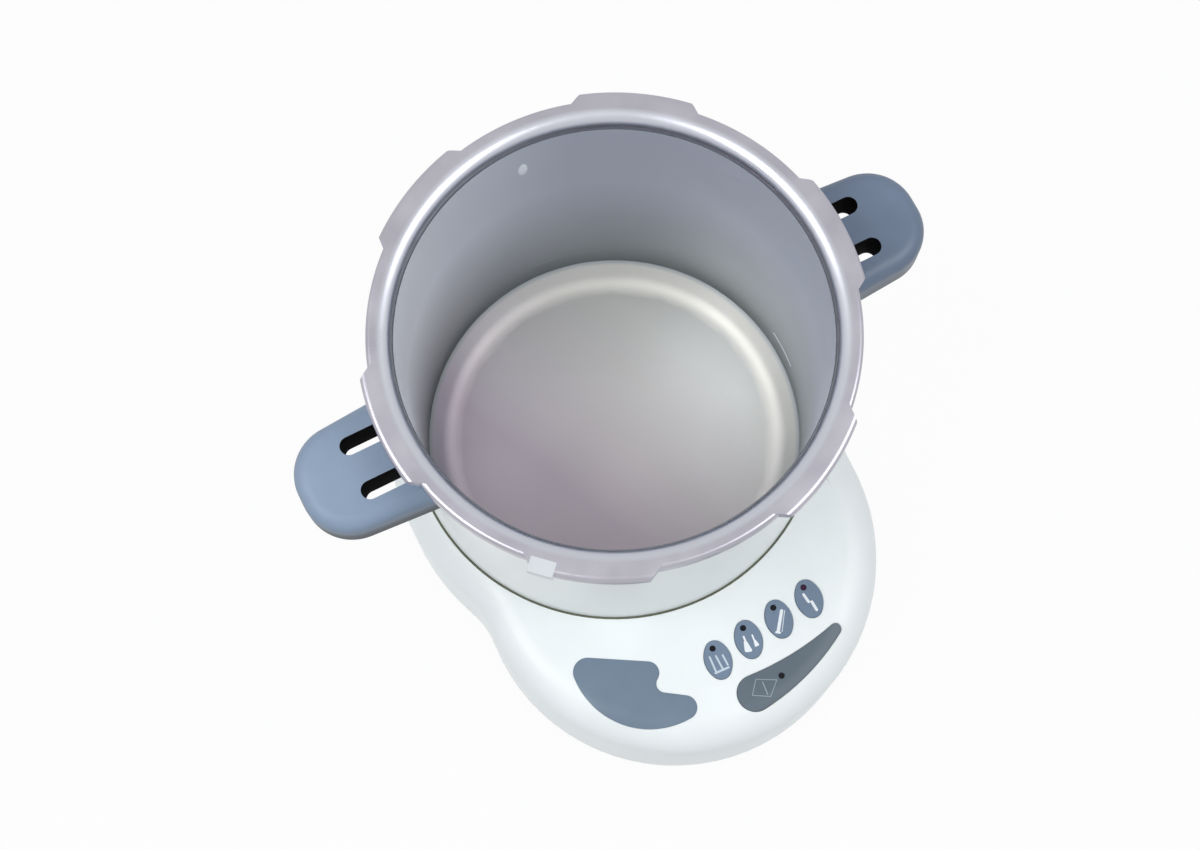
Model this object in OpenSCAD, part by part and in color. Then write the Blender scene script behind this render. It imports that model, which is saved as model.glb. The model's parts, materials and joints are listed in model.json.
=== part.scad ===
// Tabletop autoclave: an open pressure vessel with a bayonet rim on a pear-shaped base.
// Z is up with zero at the table, the vessel's axis is x = y = 0, the key panel faces -Y.

/* [Chamber] */
// Inner diameter of the chamber wall
chamber_d = 240; // [230:1:248]
// Depth from the rim's top face to the chamber floor
chamber_depth = 225; // [205:1:245]
// Height of the chamber floor over the table
floor_z = 43; // [43:1:50]
// Sheet thickness of the deep drawn vessel
vessel_t = 2.5; // [2:0.1:3]
// Width of the sloped ring round the chamber floor
floor_ring = 20; // [14:1:24]
// Slope of that ring
floor_slope = 37; // [25:1:45]
// Inside radius between the floor and the slope
floor_round = 20; // [8:1:24]

/* [Bayonet rim] */
// Width of the plain flange outside the chamber wall
flange_w = 14.1; // [13:0.1:16]
// Height of the flange
flange_h = 9; // [8:0.5:11]
// Step of the lip outward from the chamber wall
lip_step = 0.6; // [0.3:0.1:1]
// Number of bayonet lugs
lug_count = 6; // [4:1:6]
// Reach of a lug past the plain flange
lug_reach = 5; // [3:0.5:6]
// Angle that a lug takes at its outer edge
lug_angle = 26; // [20:1:30]
// Slant of a lug's ends, as extra angle at its root
lug_slant = 4.4; // [0:0.2:6]
// Thickness of a lug
lug_h = 7; // [5:0.5:8]

/* [Jacket] */
// Room between the vessel and the jacket, filled by insulation
jacket_gap = 3.3; // [3:0.1:5]
// Sheet thickness of the jacket
jacket_t = 1; // [0.8:0.1:1.5]

/* [Base] */
// Drop from the rim's top face to the top of the base cover
cover_drop = 175.6; // [165:0.1:185]
// Width of the base round the jacket
base_band = 17.2; // [16:0.1:22]
// Distance of the panel lobe's centre in front of the vessel's axis
lobe_y = 91; // [86:1:100]
// Radius of the panel lobe
lobe_r = 125.8; // [122:0.1:132]
// Radius of the concave blend between base and lobe
blend_r = 54; // [40:1:70]
// Radius of the rounded top edge
edge_r = 22; // [18:1:24]
// Wall of the moulded base cover
cover_t = 3; // [2.5:0.1:3.5]
// Gap between the jacket and the cover's collar
collar_gap = 1.4; // [1:0.1:2]
// Height of the rubber feet under the pan
foot_h = 8; // [6:0.5:10]
// Sheet thickness of the base pan
pan_t = 2; // [1.5:0.1:2.5]

/* [Handles] */
// Drop from the rim's top face to the top of a handle
handle_drop = 30; // [26:1:36]
// Thickness of a handle
handle_h = 24; // [22:1:28]
// Width of a handle at the jacket
handle_w = 68.5; // [64:0.5:72]
// Angle by which a handle's sides come together outward
handle_taper = 4; // [1:0.5:6]
// Reach of a handle out of the jacket
handle_reach = 64.7; // [60:0.1:75]
// Corner radius of a handle's free end
handle_corner = 28; // [22:1:29]
// Radius of a handle's upper edges
handle_edge = 9; // [6:0.5:10]
// Turn of the handle pair against the base
handle_turn = 2; // [0:0.5:4]
// Width of a handle slot
slot_w = 10.5; // [9:0.5:11]
// Distance of a slot's middle from the handle's middle
slot_off = 13.8; // [13.5:0.1:15]

/* [Keys] */
// Length of an oval program key
key_l = 24; // [23:0.1:27]
// Width of an oval program key
key_w = 16.5; // [15:0.1:17.5]
// Distance between two program keys
key_pitch = 22.5; // [22:0.1:24]
// Slope of the row of keys against the X axis
key_row_turn = 8.9; // [6:0.1:11]
// Turn of each oval out of the Y axis
key_turn = -8; // [-12:1:0]
// Height of a key's face over the cover
key_proud = 0.8; // [0.5:0.1:1.2]
// Travel of a key
key_travel = 0.8; // [0.5:0.1:1]
// Gap round a key in the cover
key_gap = 0.3; // [0.2:0.1:0.4]

/* [Rocker switch and inlet] */
// Direction of the connector bay seen from the lobe's centre
bay_turn = -15; // [-18:1:-12]
// Height of the bay's floor over the table
bay_z = 16; // [14:1:17]
// Tilt of the rocker to either side
rocker_tilt = 7; // [5:0.5:8]
// Travel of the fuse drawer
drawer_travel = 16; // [10:1:18]

/* [Hidden] */
$fn = 96;
eps = 0.5;
fit = 0.1;
loose = 0.3;
soft_r = 1;

// Levels of the assembly
chamber_r = chamber_d / 2;
rim_z = floor_z + chamber_depth;
cover_z = rim_z - cover_drop;
under_z = floor_z - vessel_t;
pan_top = foot_h + pan_t;

// Chamber and rim
vessel_r = chamber_r + vessel_t;
lip_r = chamber_r + lip_step;
flange_r = chamber_r + flange_w;
flange_z = rim_z - flange_h;
lug_r = flange_r + lug_reach;
lug_root = 4;
skirt_t = 2.6;
skirt_h = 6;
flange_round_out = 2.5;
lip_face = 1;
flange_round_in = flange_h - lip_face;
lug_round = 3;
level_r = 0.5;
level_span = 12;
level_drop = 193;
level_z = rim_z - level_drop;
catch_turn = -131;
catch_l = 14;
catch_w = 8.5;
catch_h = 6;
catch_out = 1.4;

// Jacket and insulation
jacket_r = vessel_r + jacket_gap + jacket_t;
sleeve_low = 60;
sleeve_top = flange_z - skirt_h - loose;

// Studs, legs and heater under the chamber
flat_r = chamber_r - floor_ring;
round_steps = 4;
stud_r = 3;
stud_inset = 6;
stud_ring = flat_r - stud_inset;
leg_turns = [90, 210, 330];
leg_w = 24;
leg_t = 2.5;
leg_pad_reach = 9;
leg_pad_in = stud_ring - leg_pad_reach;
leg_web_inset = 5.5;
leg_web_r = vessel_r - leg_web_inset;
leg_ledge_z = 31.5;
leg_foot = 14;
leg_screw_reach = 10;
leg_screw_ring = leg_web_r + leg_screw_reach;
plate_inset = 17;
plate_r = flat_r - plate_inset;
plate_t = 6;
plate_z = under_z - plate_t;
element_share = 0.83;
element_ring = plate_r * element_share;
element_r = 4.1;
element_turn = 300;
element_pin_r = 2.9;
element_pin_turn = 2.6;
shield_r = plate_r;
shield_t = 0.8;
shield_drop = 12;
shield_z = plate_z - shield_drop;
shield_lip = 4;
shield_gap = 2;
nut_r = 5.6;
nut_h = 4.6;
stud_end = 0.6;
centre_stud_z = shield_z - nut_h - stud_end;
spacer_r = 4.6;
terminal_h = 7;
terminal_r = 5.2;
probe_reach = 8;
probe_ring = plate_r + probe_reach;
probe_r = 2.9;
probe_l = 30;
probe_lead_r = 1.7;
probe_turn = -90;
clip_w = 9;
clip_l = 12;
clip_wall = 2;
clip_h = 2 * probe_r + clip_wall;
cutout_r = 8;
cutout_h = 6.5;
cutout_share = 0.4;
cutout_ring = plate_r * cutout_share;
cutout_turn = 150;
cutout_flange_l = 26;
cutout_flange_t = 1;
cutout_screw_off = 10.4;
cutout_blade = [1, 24, 1];

// Base: middle of the concave blend, and the angles where the arcs meet
base_r = jacket_r + base_band;
base_reach = base_r + blend_r;
lobe_reach = lobe_r + blend_r;
blend_y = (base_reach * base_reach - lobe_reach * lobe_reach + lobe_y * lobe_y) / (2 * lobe_y);
blend_x = sqrt(base_reach * base_reach - blend_y * blend_y);
base_meet = atan2(blend_y, blend_x);
lobe_meet = atan2(lobe_y - blend_y, blend_x);
arc_step = 5;
edge_steps = 6;
collar_r = jacket_r + collar_gap;
collar_t = 2.5;
collar_h = 30;
boss_r = 4.5;
boss_lap = 1;
boss_ring = base_r - cover_t - boss_r + boss_lap;
boss_rise = 4;
boss_low_top = cover_z - edge_r + boss_rise;
boss_share = 0.68;
boss_turns = [55, 125, 180 + boss_share * base_meet, 360 - boss_share * base_meet];
lobe_boss_inset = 13.8;
lobe_boss_ring = lobe_r - lobe_boss_inset;
lobe_boss_turns = [222, 318];
screw_r = 1.9;
screw_head_r = 3.6;
screw_head_h = 1.8;
foot_r = 12;
foot_inset = 26;
foot_ring = base_r - foot_inset;
foot_turns = [50, 130];
lobe_foot_inset = 30;
lobe_foot_ring = lobe_r - lobe_foot_inset;
lobe_foot_turns = [210, 312];
plug_r = 3;
vent_l = 34;
vent_w = 3.4;
vent_pitch = 9;
vent_count = 7;

// Handles
handle_top = rim_z - handle_drop;
handle_low = handle_top - handle_h;
handle_tip = jacket_r + handle_reach;
slot_wall_out = 31.2;
slot_wall_in = 6.5;
slot_tip = handle_tip - slot_wall_out;
slot_in = jacket_r + slot_wall_in;
handle_mid_x = handle_tip - handle_corner;
handle_side_x = handle_mid_x + handle_corner * sin(handle_taper);
handle_mid_y = handle_w / 2 - handle_corner * cos(handle_taper)
    - (handle_side_x - jacket_r) * tan(handle_taper);
handle_back = (handle_side_x - chamber_r) / cos(handle_taper);
arm_w = 11;
arm_t = 5;
arm_z = handle_low + (handle_h - arm_t) / 2;
arm_wall = 11;
arm_tip = handle_tip - arm_wall;
saddle_t = 2.2;
saddle_h = 40;
saddle_angle = 26;
saddle_play = 1;
saddle_room = vessel_r * sin(saddle_angle / 2 + saddle_play);
handle_screw_in = 14;
handle_screw_out = 19;
handle_screws = [jacket_r + handle_screw_in, handle_tip - handle_screw_out];
handle_screw_r = 2.5;
handle_head_r = 4.2;
handle_head_h = 4;
handle_sink = 5;

// Keys, their board and the start key's outline
key_row_share = [-0.0596, -0.5898];
key_row = on_lobe(key_row_share);
key_under = cover_z - cover_t;
key_flange_t = 1.1;
key_flange_w = 1.2;
oval_tip_share = 0.37;
oval_tip_r = key_w * oval_tip_share;
oval_half = key_l / 2 - oval_tip_r;
oval_rise = (pow(oval_half, 2) - pow(key_w / 2 - oval_tip_r, 2)) / (key_w - 2 * oval_tip_r);
stem_r = 2.7;
stem_off = -3.6;
plunger_r = 1.6;
led_r = 1.6;
led_shares = [-0.0667, 0.3125];
led_at = [key_w * led_shares[0], key_l * led_shares[1]];
board_t = 1.6;
board_drop = 14;
board_room = 11;
board_inset = 13;
board_x_shares = [-0.1987, 0.6677];
board_z = cover_z - board_drop;
board_in = jacket_r + board_room;
board_out = lobe_r - board_inset;
board_x = lobe_r * board_x_shares;
tact_w = 6.2;
tact_h = 4.2;
tact_floor = 1.2;
bulb_share = [0.0326, -0.8076];
bulb_at = on_lobe(bulb_share);
bulb_r = 10.9;
tip_share = [0.5238, -0.6924];
tip_at = on_lobe(tip_share);
tip_r = 3.3;
start_out_r = 150;
start_in_r = 184;
start_led_share = [0.1836, -0.7862];
start_led = on_lobe(start_led_share);
start_deep = 10;
bulb_step = 10;
side_step = 2.5;
start_stem_share = [0.3657, -0.7424];
start_stems = [bulb_at, on_lobe(start_stem_share)];
board_hole_shares = [[-0.155, -0.6995], [-0.1471, -0.4372], [0.2067, -0.4054], [0.62, -0.4849]];
board_holes = [for (p = board_hole_shares) on_lobe(p)];
board_boss_r = 3.4;
board_screw_r = 1.3;
board_head_r = 2.7;
board_head_h = 1.7;
board_screw_l = 5;

// Bare inlay left of the keys
badge_share = [-0.3299, -0.3935];
badge_lobe_share = [-0.1613, -0.2802];
badge_c = on_lobe(badge_share);
badge_arc_r = 49.6;
badge_from = 177.5;
badge_to = 274.9;
badge_a_r = 8.8;
badge_b_r = 7.3;
badge_lobe_r = 7;
badge_notch_r = 5.4;
badge_notch_turn = -56.2;
badge_a = badge_c + polar(badge_arc_r - badge_a_r, badge_from);
badge_b = badge_c + polar(badge_arc_r - badge_b_r, badge_to);
badge_lobe = badge_c + badge_arc_r * badge_lobe_share;
badge_notch = badge_lobe + polar(badge_lobe_r + badge_notch_r, badge_notch_turn);
badge_turn_a = aim(badge_lobe - badge_a) + acos((badge_a_r - badge_lobe_r) / norm(badge_lobe - badge_a));
badge_turn_b = aim(badge_notch - badge_b) - acos((badge_b_r + badge_notch_r) / norm(badge_notch - badge_b));
badge_t = 0.6;
badge_sink = 0.4;
badge_deep = 8;

// Power board on the pan
power_lift = 8;
power_room = 8;
power_inset = 14;
power_x_shares = [-0.62, 0.3975];
power_post_shares = [[-0.5405, -0.4769], [-0.2385, -0.4134], [0.2862, -0.4134], [-0.1749, -0.8267]];
power_z = pan_top + power_lift;
power_in = jacket_r + power_room;
power_out = lobe_r - power_inset;
power_x = lobe_r * power_x_shares;
power_posts = [for (p = power_post_shares) on_lobe(p)];
post_r = 3.4;
transformer = [40, 34, 30];
transformer_share = [-0.5246, -0.7631];
transformer_at = on_lobe(transformer_share);
relay = [19, 15, 16];
relay_share = [0, -0.5882];
relay_at = on_lobe(relay_share);
sink_fin = [2, 20, 26];
sink_share = [0.2067, -0.7154];
sink_at = on_lobe(sink_share);
sink_fins = 5;
cap_r = 7;
cap_h = 22;
cap_share = [0.0159, -0.7313];
cap_at = on_lobe(cap_share);

// Connector bay, inlet, fuse drawer and switch
bay_w = 78;
bay_h = 50;
bay_inset = 6.8;
bay_d = lobe_r - bay_inset;
inlet_off = -15;
inlet_w = 31;
inlet_h = 46;
inlet_flange_t = 2;
inlet_body = [26, 27, 36];
socket_w = 24.6;
socket_h = 16.6;
socket_cut = 5;
socket_deep = 16;
socket_z = 8.4;
blade = [12, 2, 4];
blade_off = 7;
blade_lift = 2;
drawer_w = 22;
drawer_h = 9;
drawer_deep = 20;
drawer_z = -10.5;
drawer_lip = 1.5;
switch_off = 22;
switch_w = 18;
switch_h = 24;
switch_body = [17, 15, 21];
well_w = 11.6;
well_h = 17.6;
well_deep = 9;
paddle_w = 11;
paddle_h = 15.6;
pivot_in = 3;
pivot_r = 1.2;
paddle_front = pivot_in + inlet_flange_t + 0.8;
paddle_edge = pivot_in + inlet_flange_t + 2.4;
paddle_back = 1;
paddle_keel = 2;
panel_screw_r = 1.5;
panel_screw_z = 20.5;
panel_screw_end = 5;

function polar(r, a) = [r * cos(a), r * sin(a)];
function aim(v) = atan2(v[1], v[0]);
// Place on the panel, as shares of the lobe's radius from its middle
function on_lobe(share) = [0, -lobe_y] + lobe_r * share;
// Height of the middle of the cover's skin, at a distance inside its outline
function skin_z(d) = cover_z - edge_r + sqrt(pow(edge_r - cover_t / 2, 2) - pow(max(edge_r - d, 0), 2));
function key_at(i) = key_row + polar(i * key_pitch, key_row_turn);

module pin(r, z0, z1) {
    translate([0, 0, z0]) cylinder(r = r, h = z1 - z0);
}

module tube(r_in, r_out, z0, z1) {
    difference() {
        pin(r_out, z0, z1);
        pin(r_in, z0 - eps, z1 + eps);
    }
}

module at_turns(ring, turns) {
    for (a = turns) rotate(a) translate([ring, 0, 0]) children();
}

module at_lobe_turns(ring, turns) {
    translate([0, -lobe_y, 0]) at_turns(ring, turns) children();
}

// Rectangle from the origin with its four corners rounded: low left, low right, top right, top left
module round_rect(w, h, r) {
    difference() {
        square([w, h]);
        corner_cut(r[0]);
        translate([w, 0]) mirror([1, 0]) corner_cut(r[1]);
        translate([w, h]) rotate(180) corner_cut(r[2]);
        translate([0, h]) mirror([0, 1]) corner_cut(r[3]);
    }
}

module corner_cut(r) {
    if (r > 0) difference() {
        translate([-r, -r]) square(2 * r);
        translate([r, r]) circle(r = r);
        translate([0, r]) square(2 * r);
        translate([r, 0]) square(2 * r);
    }
}

// Pressure vessel
// Profile of the pot: flat floor, a round, the sloped ring and the wall
function pot_profile(r, low, round_r, top) = let (
        x = flat_r + round_r * sin(floor_slope),
        z = low + round_r * (1 - cos(floor_slope)))
    concat([[0, top], [0, low]],
        [for (i = [0 : round_steps]) let (a = floor_slope * i / round_steps)
            [flat_r + round_r * sin(a), low + round_r * (1 - cos(a))]],
        [[r, z + (r - x) * tan(floor_slope)], [r, top]]);

module chamber_vessel() {
    color("#9fa5ae") {
        difference() {
            rotate_extrude() difference() {
                polygon(pot_profile(vessel_r, under_z, floor_round + vessel_t, flange_z));
                polygon(pot_profile(chamber_r, floor_z, floor_round, flange_z + eps));
            }
            translate([0, 0, level_z]) rotate(-level_span / 2) rotate_extrude(angle = level_span)
                translate([chamber_r, 0]) circle(r = level_r);
        }
        at_turns(stud_ring, leg_turns) pin(stud_r, leg_ledge_z, under_z + eps);
        pin(stud_r, centre_stud_z, under_z + eps);
    }
}

// Bayonet rim
module lug_wedge() {
    outer = lug_r + lug_root;
    root = flange_r - lug_root;
    slope = lug_slant / 2 / (lug_r - flange_r);
    half_out = lug_angle / 2 - slope * lug_root;
    half_in = lug_angle / 2 + slope * (lug_r - root);
    polygon([polar(root, -half_in), polar(outer, -half_out), polar(outer, half_out), polar(root, half_in)]);
}

module lug() {
    intersection() {
        translate([0, 0, rim_z - lug_h]) linear_extrude(lug_h) lug_wedge();
        translate([0, 0, rim_z - lug_h]) rotate_extrude()
            translate([flange_r - lug_root, 0])
                round_rect(lug_r - flange_r + lug_root, lug_h, [0, soft_r, lug_round, 0]);
    }
}

module catch_place(grow) {
    rotate(catch_turn) translate([lug_r + catch_out - catch_w, -catch_l / 2, rim_z - catch_h])
        translate([-grow, -grow, -grow]) cube([catch_w + 2 * grow, catch_l + 2 * grow, catch_h + lug_h]);
}

module bayonet_rim() {
    color("#b4b2bc") difference() {
        union() {
            translate([0, 0, flange_z]) rotate_extrude() translate([lip_r, 0])
                round_rect(flange_r - lip_r, flange_h, [0, soft_r, flange_round_out, flange_round_in]);
            tube(vessel_r + fit, vessel_r + skirt_t, flange_z - skirt_h, flange_z + eps);
            for (i = [0 : lug_count - 1]) rotate(i * 360 / lug_count) lug();
        }
        catch_place(0);
    }
}

module lock_catch() {
    color("#e2e6ea") intersection() {
        catch_place(0);
        translate([0, 0, rim_z - catch_h]) cylinder(r = lug_r + catch_out, h = catch_h);
    }
}

// Jacket, insulation and handle brackets
module insulation_sleeve() {
    color("#cdc8b4") difference() {
        tube(vessel_r + fit, vessel_r + jacket_gap - fit, sleeve_low, sleeve_top);
        for (s = [0, 180]) rotate(handle_turn + s)
            translate([0, -saddle_room, arm_z + arm_t / 2 - saddle_h / 2 - loose])
                cube([jacket_r, 2 * saddle_room, saddle_h + 2 * loose]);
    }
}

module jacket_shell() {
    color("#d6dbde") difference() {
        tube(jacket_r - jacket_t, jacket_r, leg_ledge_z, flange_z - loose);
        for (s = [0, 180]) rotate(handle_turn + s)
            translate([0, -arm_w / 2 - loose, arm_z - loose])
                cube([jacket_r + eps, arm_w + 2 * loose, arm_t + 2 * loose]);
    }
}

module handle_bracket(side) {
    color("#8d9298") rotate(handle_turn + side) difference() {
        union() {
            translate([0, 0, arm_z + arm_t / 2 - saddle_h / 2]) rotate(-saddle_angle / 2)
                rotate_extrude(angle = saddle_angle) translate([vessel_r + fit, 0])
                    square([saddle_t, saddle_h]);
            translate([vessel_r + saddle_t / 2, -arm_w / 2, arm_z])
                cube([arm_tip - vessel_r - saddle_t / 2, arm_w, arm_t]);
        }
        for (x = handle_screws) translate([x, 0, 0])
            pin(handle_screw_r + fit, arm_z - eps, arm_z + arm_t + eps);
    }
}

// Point on a handle's side at a distance back from its corner, with its outward direction
function side_point(s, back) = let (out = [sin(handle_taper), s * cos(handle_taper)])
    [[handle_mid_x, s * handle_mid_y] + handle_corner * out
        + back * [-cos(handle_taper), s * sin(handle_taper)], out];

// Outline of a handle: two rounded corners at its free end and sides that spread towards the jacket
handle_line = concat([side_point(-1, handle_back)],
    arc_points([handle_mid_x, -handle_mid_y], handle_corner, handle_taper - 90, 0, 1, arc_step),
    [[[handle_tip, -handle_mid_y], [1, 0]]],
    arc_points([handle_mid_x, handle_mid_y], handle_corner, 0, 90 - handle_taper, 1, arc_step),
    [side_point(1, 0), side_point(1, handle_back)]);

module slot_plan() {
    translate([slot_in, -slot_w / 2]) square([slot_tip - slot_w / 2 - slot_in, slot_w]);
    translate([slot_tip - slot_w / 2, 0]) circle(r = slot_w / 2);
}

module handle(side) {
    color("#7a8ba3") rotate(handle_turn + side) difference() {
        loft(handle_line, concat([[soft_r, handle_low], [0, handle_low + soft_r]],
            rounded_edge(0, handle_edge, handle_top)));
        pin(jacket_r + loose, handle_low - eps, handle_top + eps);
        for (s = [-1, 1]) translate([0, s * slot_off, handle_low - eps])
            linear_extrude(handle_h + 2 * eps) slot_plan();
        translate([vessel_r, -arm_w / 2 - fit, arm_z - fit])
            cube([arm_tip + loose - vessel_r, arm_w + 2 * fit, arm_t + 2 * fit]);
        for (x = handle_screws) translate([x, 0, 0]) {
            pin(handle_screw_r + fit, handle_low - eps, arm_z);
            pin(handle_head_r + loose, handle_low - eps, handle_low + handle_sink);
        }
    }
}

module handle_screw_pair(side) {
    color("#a3a7ab") rotate(handle_turn + side) for (x = handle_screws) translate([x, 0, 0]) {
        pin(handle_head_r, handle_low + handle_sink - handle_head_h, handle_low + handle_sink);
        pin(handle_screw_r, handle_low + handle_sink - eps, arm_z + arm_t);
    }
}

// Points along an arc, each with its outward direction
function arc_points(mid, r, a, b, side, step) = let (n = ceil(abs(b - a) / step))
    [for (i = [0 : n - 1]) let (t = a + (b - a) * i / n) [mid + polar(r, t), side * polar(1, t)]];

// Outline of the base: an arc round the jacket, an arc round the panel and a concave arc on each
// side, all of them tangent
outline = concat(
    arc_points([0, 0], base_r, -base_meet, 180 + base_meet, 1, arc_step),
    arc_points([-blend_x, -blend_y], blend_r, base_meet, -lobe_meet, -1, arc_step),
    arc_points([0, -lobe_y], lobe_r, 180 - lobe_meet, 360 + lobe_meet, 1, arc_step),
    arc_points([blend_x, -blend_y], blend_r, 180 + lobe_meet, 180 - base_meet, -1, arc_step));

module base_plan(inset) {
    polygon([for (p = outline) p[0] - inset * p[1]]);
}

// Loft through copies of an outline, one for each [inset, height]
module loft(line, levels) {
    n = len(line);
    polyhedron(
        points = [for (l = levels) each [for (p = line) [each (p[0] - l[0] * p[1]), l[1]]]],
        faces = concat([[for (i = [0 : n - 1]) i]],
            [for (k = [0 : len(levels) - 2]) each [for (i = [0 : n - 1]) let (j = (i + 1) % n)
                [k * n + i, (k + 1) * n + i, (k + 1) * n + j, k * n + j]]],
            [[for (i = [n - 1 : -1 : 0]) (len(levels) - 1) * n + i]]));
}

// Levels of a rounded top edge, from its upright wall to its flat top
function rounded_edge(inset, r, top) = [for (i = [0 : edge_steps]) let (a = 90 * i / edge_steps)
    [inset + r * (1 - cos(a)), top - r + r * sin(a)]];

// The cover's form, or its hollow when inset by the wall: a plain wall and a rounded top edge
module cover_body(inset, z0) {
    loft(outline, concat([[inset, z0]], rounded_edge(inset, edge_r - inset, cover_z - inset)));
}

// Skin of the lobe between two depths under its surface, which follows the rounded edge
module lobe_skin(depth_out, depth_in) {
    translate([0, -lobe_y, 0]) rotate_extrude() difference() {
        lobe_half(depth_out);
        lobe_half(depth_in);
    }
}

module lobe_half(depth) {
    translate([0, foot_h]) round_rect(lobe_r - depth, cover_z - depth - foot_h, [0, 0, edge_r - depth, 0]);
}

module bay_block(grow) {
    translate([0, -lobe_y, 0]) rotate(bay_turn) translate([bay_d - grow, -bay_w / 2 - grow, bay_z - grow])
        cube([edge_r, bay_w + 2 * grow, bay_h + 2 * grow]);
}

module on_bay(off, z) {
    translate([0, -lobe_y, 0]) rotate(bay_turn) translate([bay_d, off, bay_z + bay_h / 2 + z]) children();
}

module oval(grow) {
    reach = oval_half * (1 + oval_tip_r / (key_w / 2 + oval_rise - oval_tip_r)) ;
    intersection() {
        translate([0, -oval_rise]) circle(r = key_w / 2 + oval_rise + grow);
        translate([0, oval_rise]) circle(r = key_w / 2 + oval_rise + grow);
        square([2 * reach, 2 * key_w], center = true);
    }
    for (s = [-1, 1]) translate([s * oval_half, 0]) circle(r = oval_tip_r + grow);
}

module key_place(i) {
    translate(key_at(i)) rotate(key_turn) children();
}

// Point where a circle touches both the bulb and the tip, from outside or from inside
function touch_mid(d_bulb, d_tip, side) = let (
        gap = tip_at - bulb_at,
        d = norm(gap),
        along = (d_bulb * d_bulb - d_tip * d_tip + d * d) / (2 * d),
        across = sqrt(d_bulb * d_bulb - along * along))
    bulb_at + gap / d * along + side * [-gap[1], gap[0]] / d * across;

// Teardrop outline: round the bulb, along the outer arc, round the tip and back along the inner arc
function start_outline(grow) = let (
        out_mid = touch_mid(start_out_r - bulb_r, start_out_r - tip_r, 1),
        in_mid = touch_mid(start_in_r + bulb_r, start_in_r + tip_r, 1))
    concat(
        arc_points(bulb_at, bulb_r + grow, aim(in_mid - bulb_at), aim(bulb_at - out_mid) + 360, 1, bulb_step),
        arc_points(out_mid, start_out_r + grow, aim(bulb_at - out_mid), aim(tip_at - out_mid), 1, side_step),
        arc_points(tip_at, tip_r + grow, aim(tip_at - out_mid), aim(in_mid - tip_at), 1, bulb_step),
        arc_points(in_mid, start_in_r - grow, aim(tip_at - in_mid), aim(bulb_at - in_mid), -1, side_step));

module start_plan(grow) {
    polygon([for (p = start_outline(grow)) p[0]]);
}

// Comma outline: two rounds inside one large arc, a middle lobe and a notch that touches it
module badge_plan(grow) {
    difference() {
        union() {
            intersection() {
                translate(badge_c) circle(r = badge_arc_r + grow);
                polygon([badge_a, badge_a + polar(badge_a_r + grow, badge_turn_a),
                    badge_lobe + polar(badge_lobe_r + grow, badge_turn_a),
                    badge_lobe + polar(badge_lobe_r + grow, badge_notch_turn), badge_notch,
                    badge_notch - polar(badge_notch_r - grow, badge_turn_b),
                    badge_b + polar(badge_b_r + grow, badge_turn_b), badge_b,
                    badge_c + polar(2 * badge_arc_r, badge_to),
                    badge_c + polar(2 * badge_arc_r, (badge_from + badge_to) / 2),
                    badge_c + polar(2 * badge_arc_r, badge_from)]);
            }
            translate(badge_a) circle(r = badge_a_r + grow);
            translate(badge_b) circle(r = badge_b_r + grow);
            translate(badge_lobe) circle(r = badge_lobe_r + grow);
        }
        translate(badge_notch) circle(r = badge_notch_r - grow);
    }
}

// Sheet that follows the rounded edge, between two depths
module badge_sheet(grow, depth_out, depth_in) {
    intersection() {
        translate([0, 0, cover_z - badge_deep]) linear_extrude(2 * badge_deep) badge_plan(grow);
        lobe_skin(depth_out, depth_in);
    }
}

module base_cover() {
    color("#eef2f4") difference() {
        union() {
            difference() {
                cover_body(0, foot_h);
                cover_body(cover_t, foot_h - eps);
            }
            intersection() {
                translate([0, -lobe_y, 0]) pin(lobe_r - cover_t / 2, foot_h, cover_z - edge_r);
                bay_block(cover_t);
            }
            tube(collar_r, collar_r + collar_t, cover_z - collar_h, key_under + eps);
            at_turns(boss_ring, boss_turns) pin(boss_r, pan_top, boss_low_top);
            at_lobe_turns(lobe_boss_ring, lobe_boss_turns)
                pin(boss_r, pan_top, skin_z(lobe_r - lobe_boss_ring - boss_r));
            for (p = board_holes) translate(p) pin(board_boss_r, board_z + board_t, key_under + eps);
        }
        pin(collar_r, foot_h, cover_z + eps);
        bay_block(0);
        for (i = [0 : 3]) key_place(i) rotate(90) translate([0, 0, key_under - eps])
            linear_extrude(cover_t + 2 * eps) oval(key_gap);
        translate([0, 0, cover_z - start_deep]) linear_extrude(start_deep + eps) start_plan(key_gap);
        badge_sheet(fit, -eps, badge_sink);
        at_turns(boss_ring, boss_turns) pin(screw_r + fit, foot_h, boss_low_top - boss_r);
        at_lobe_turns(lobe_boss_ring, lobe_boss_turns) pin(screw_r + fit, foot_h, boss_low_top - boss_r);
        for (p = board_holes) translate(p) pin(board_screw_r + fit, board_z, key_under - eps);
        on_bay(inlet_off, 0) panel_cut(inlet_body[1], inlet_body[2]);
        on_bay(switch_off, 0) panel_cut(switch_body[1], switch_body[2]);
        on_bay(inlet_off, 0) for (s = [-1, 1]) translate([0, 0, s * panel_screw_z]) panel_screw_hole();
    }
}

module panel_cut(w, h) {
    translate([-cover_t - eps, -w / 2 - loose, -h / 2 - loose])
        cube([cover_t + 2 * eps, w + 2 * loose, h + 2 * loose]);
}

module panel_screw_hole() {
    translate([-cover_t - eps, 0, 0]) rotate([0, 90, 0])
        cylinder(r = panel_screw_r + fit, h = cover_t + 2 * eps);
}

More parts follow.
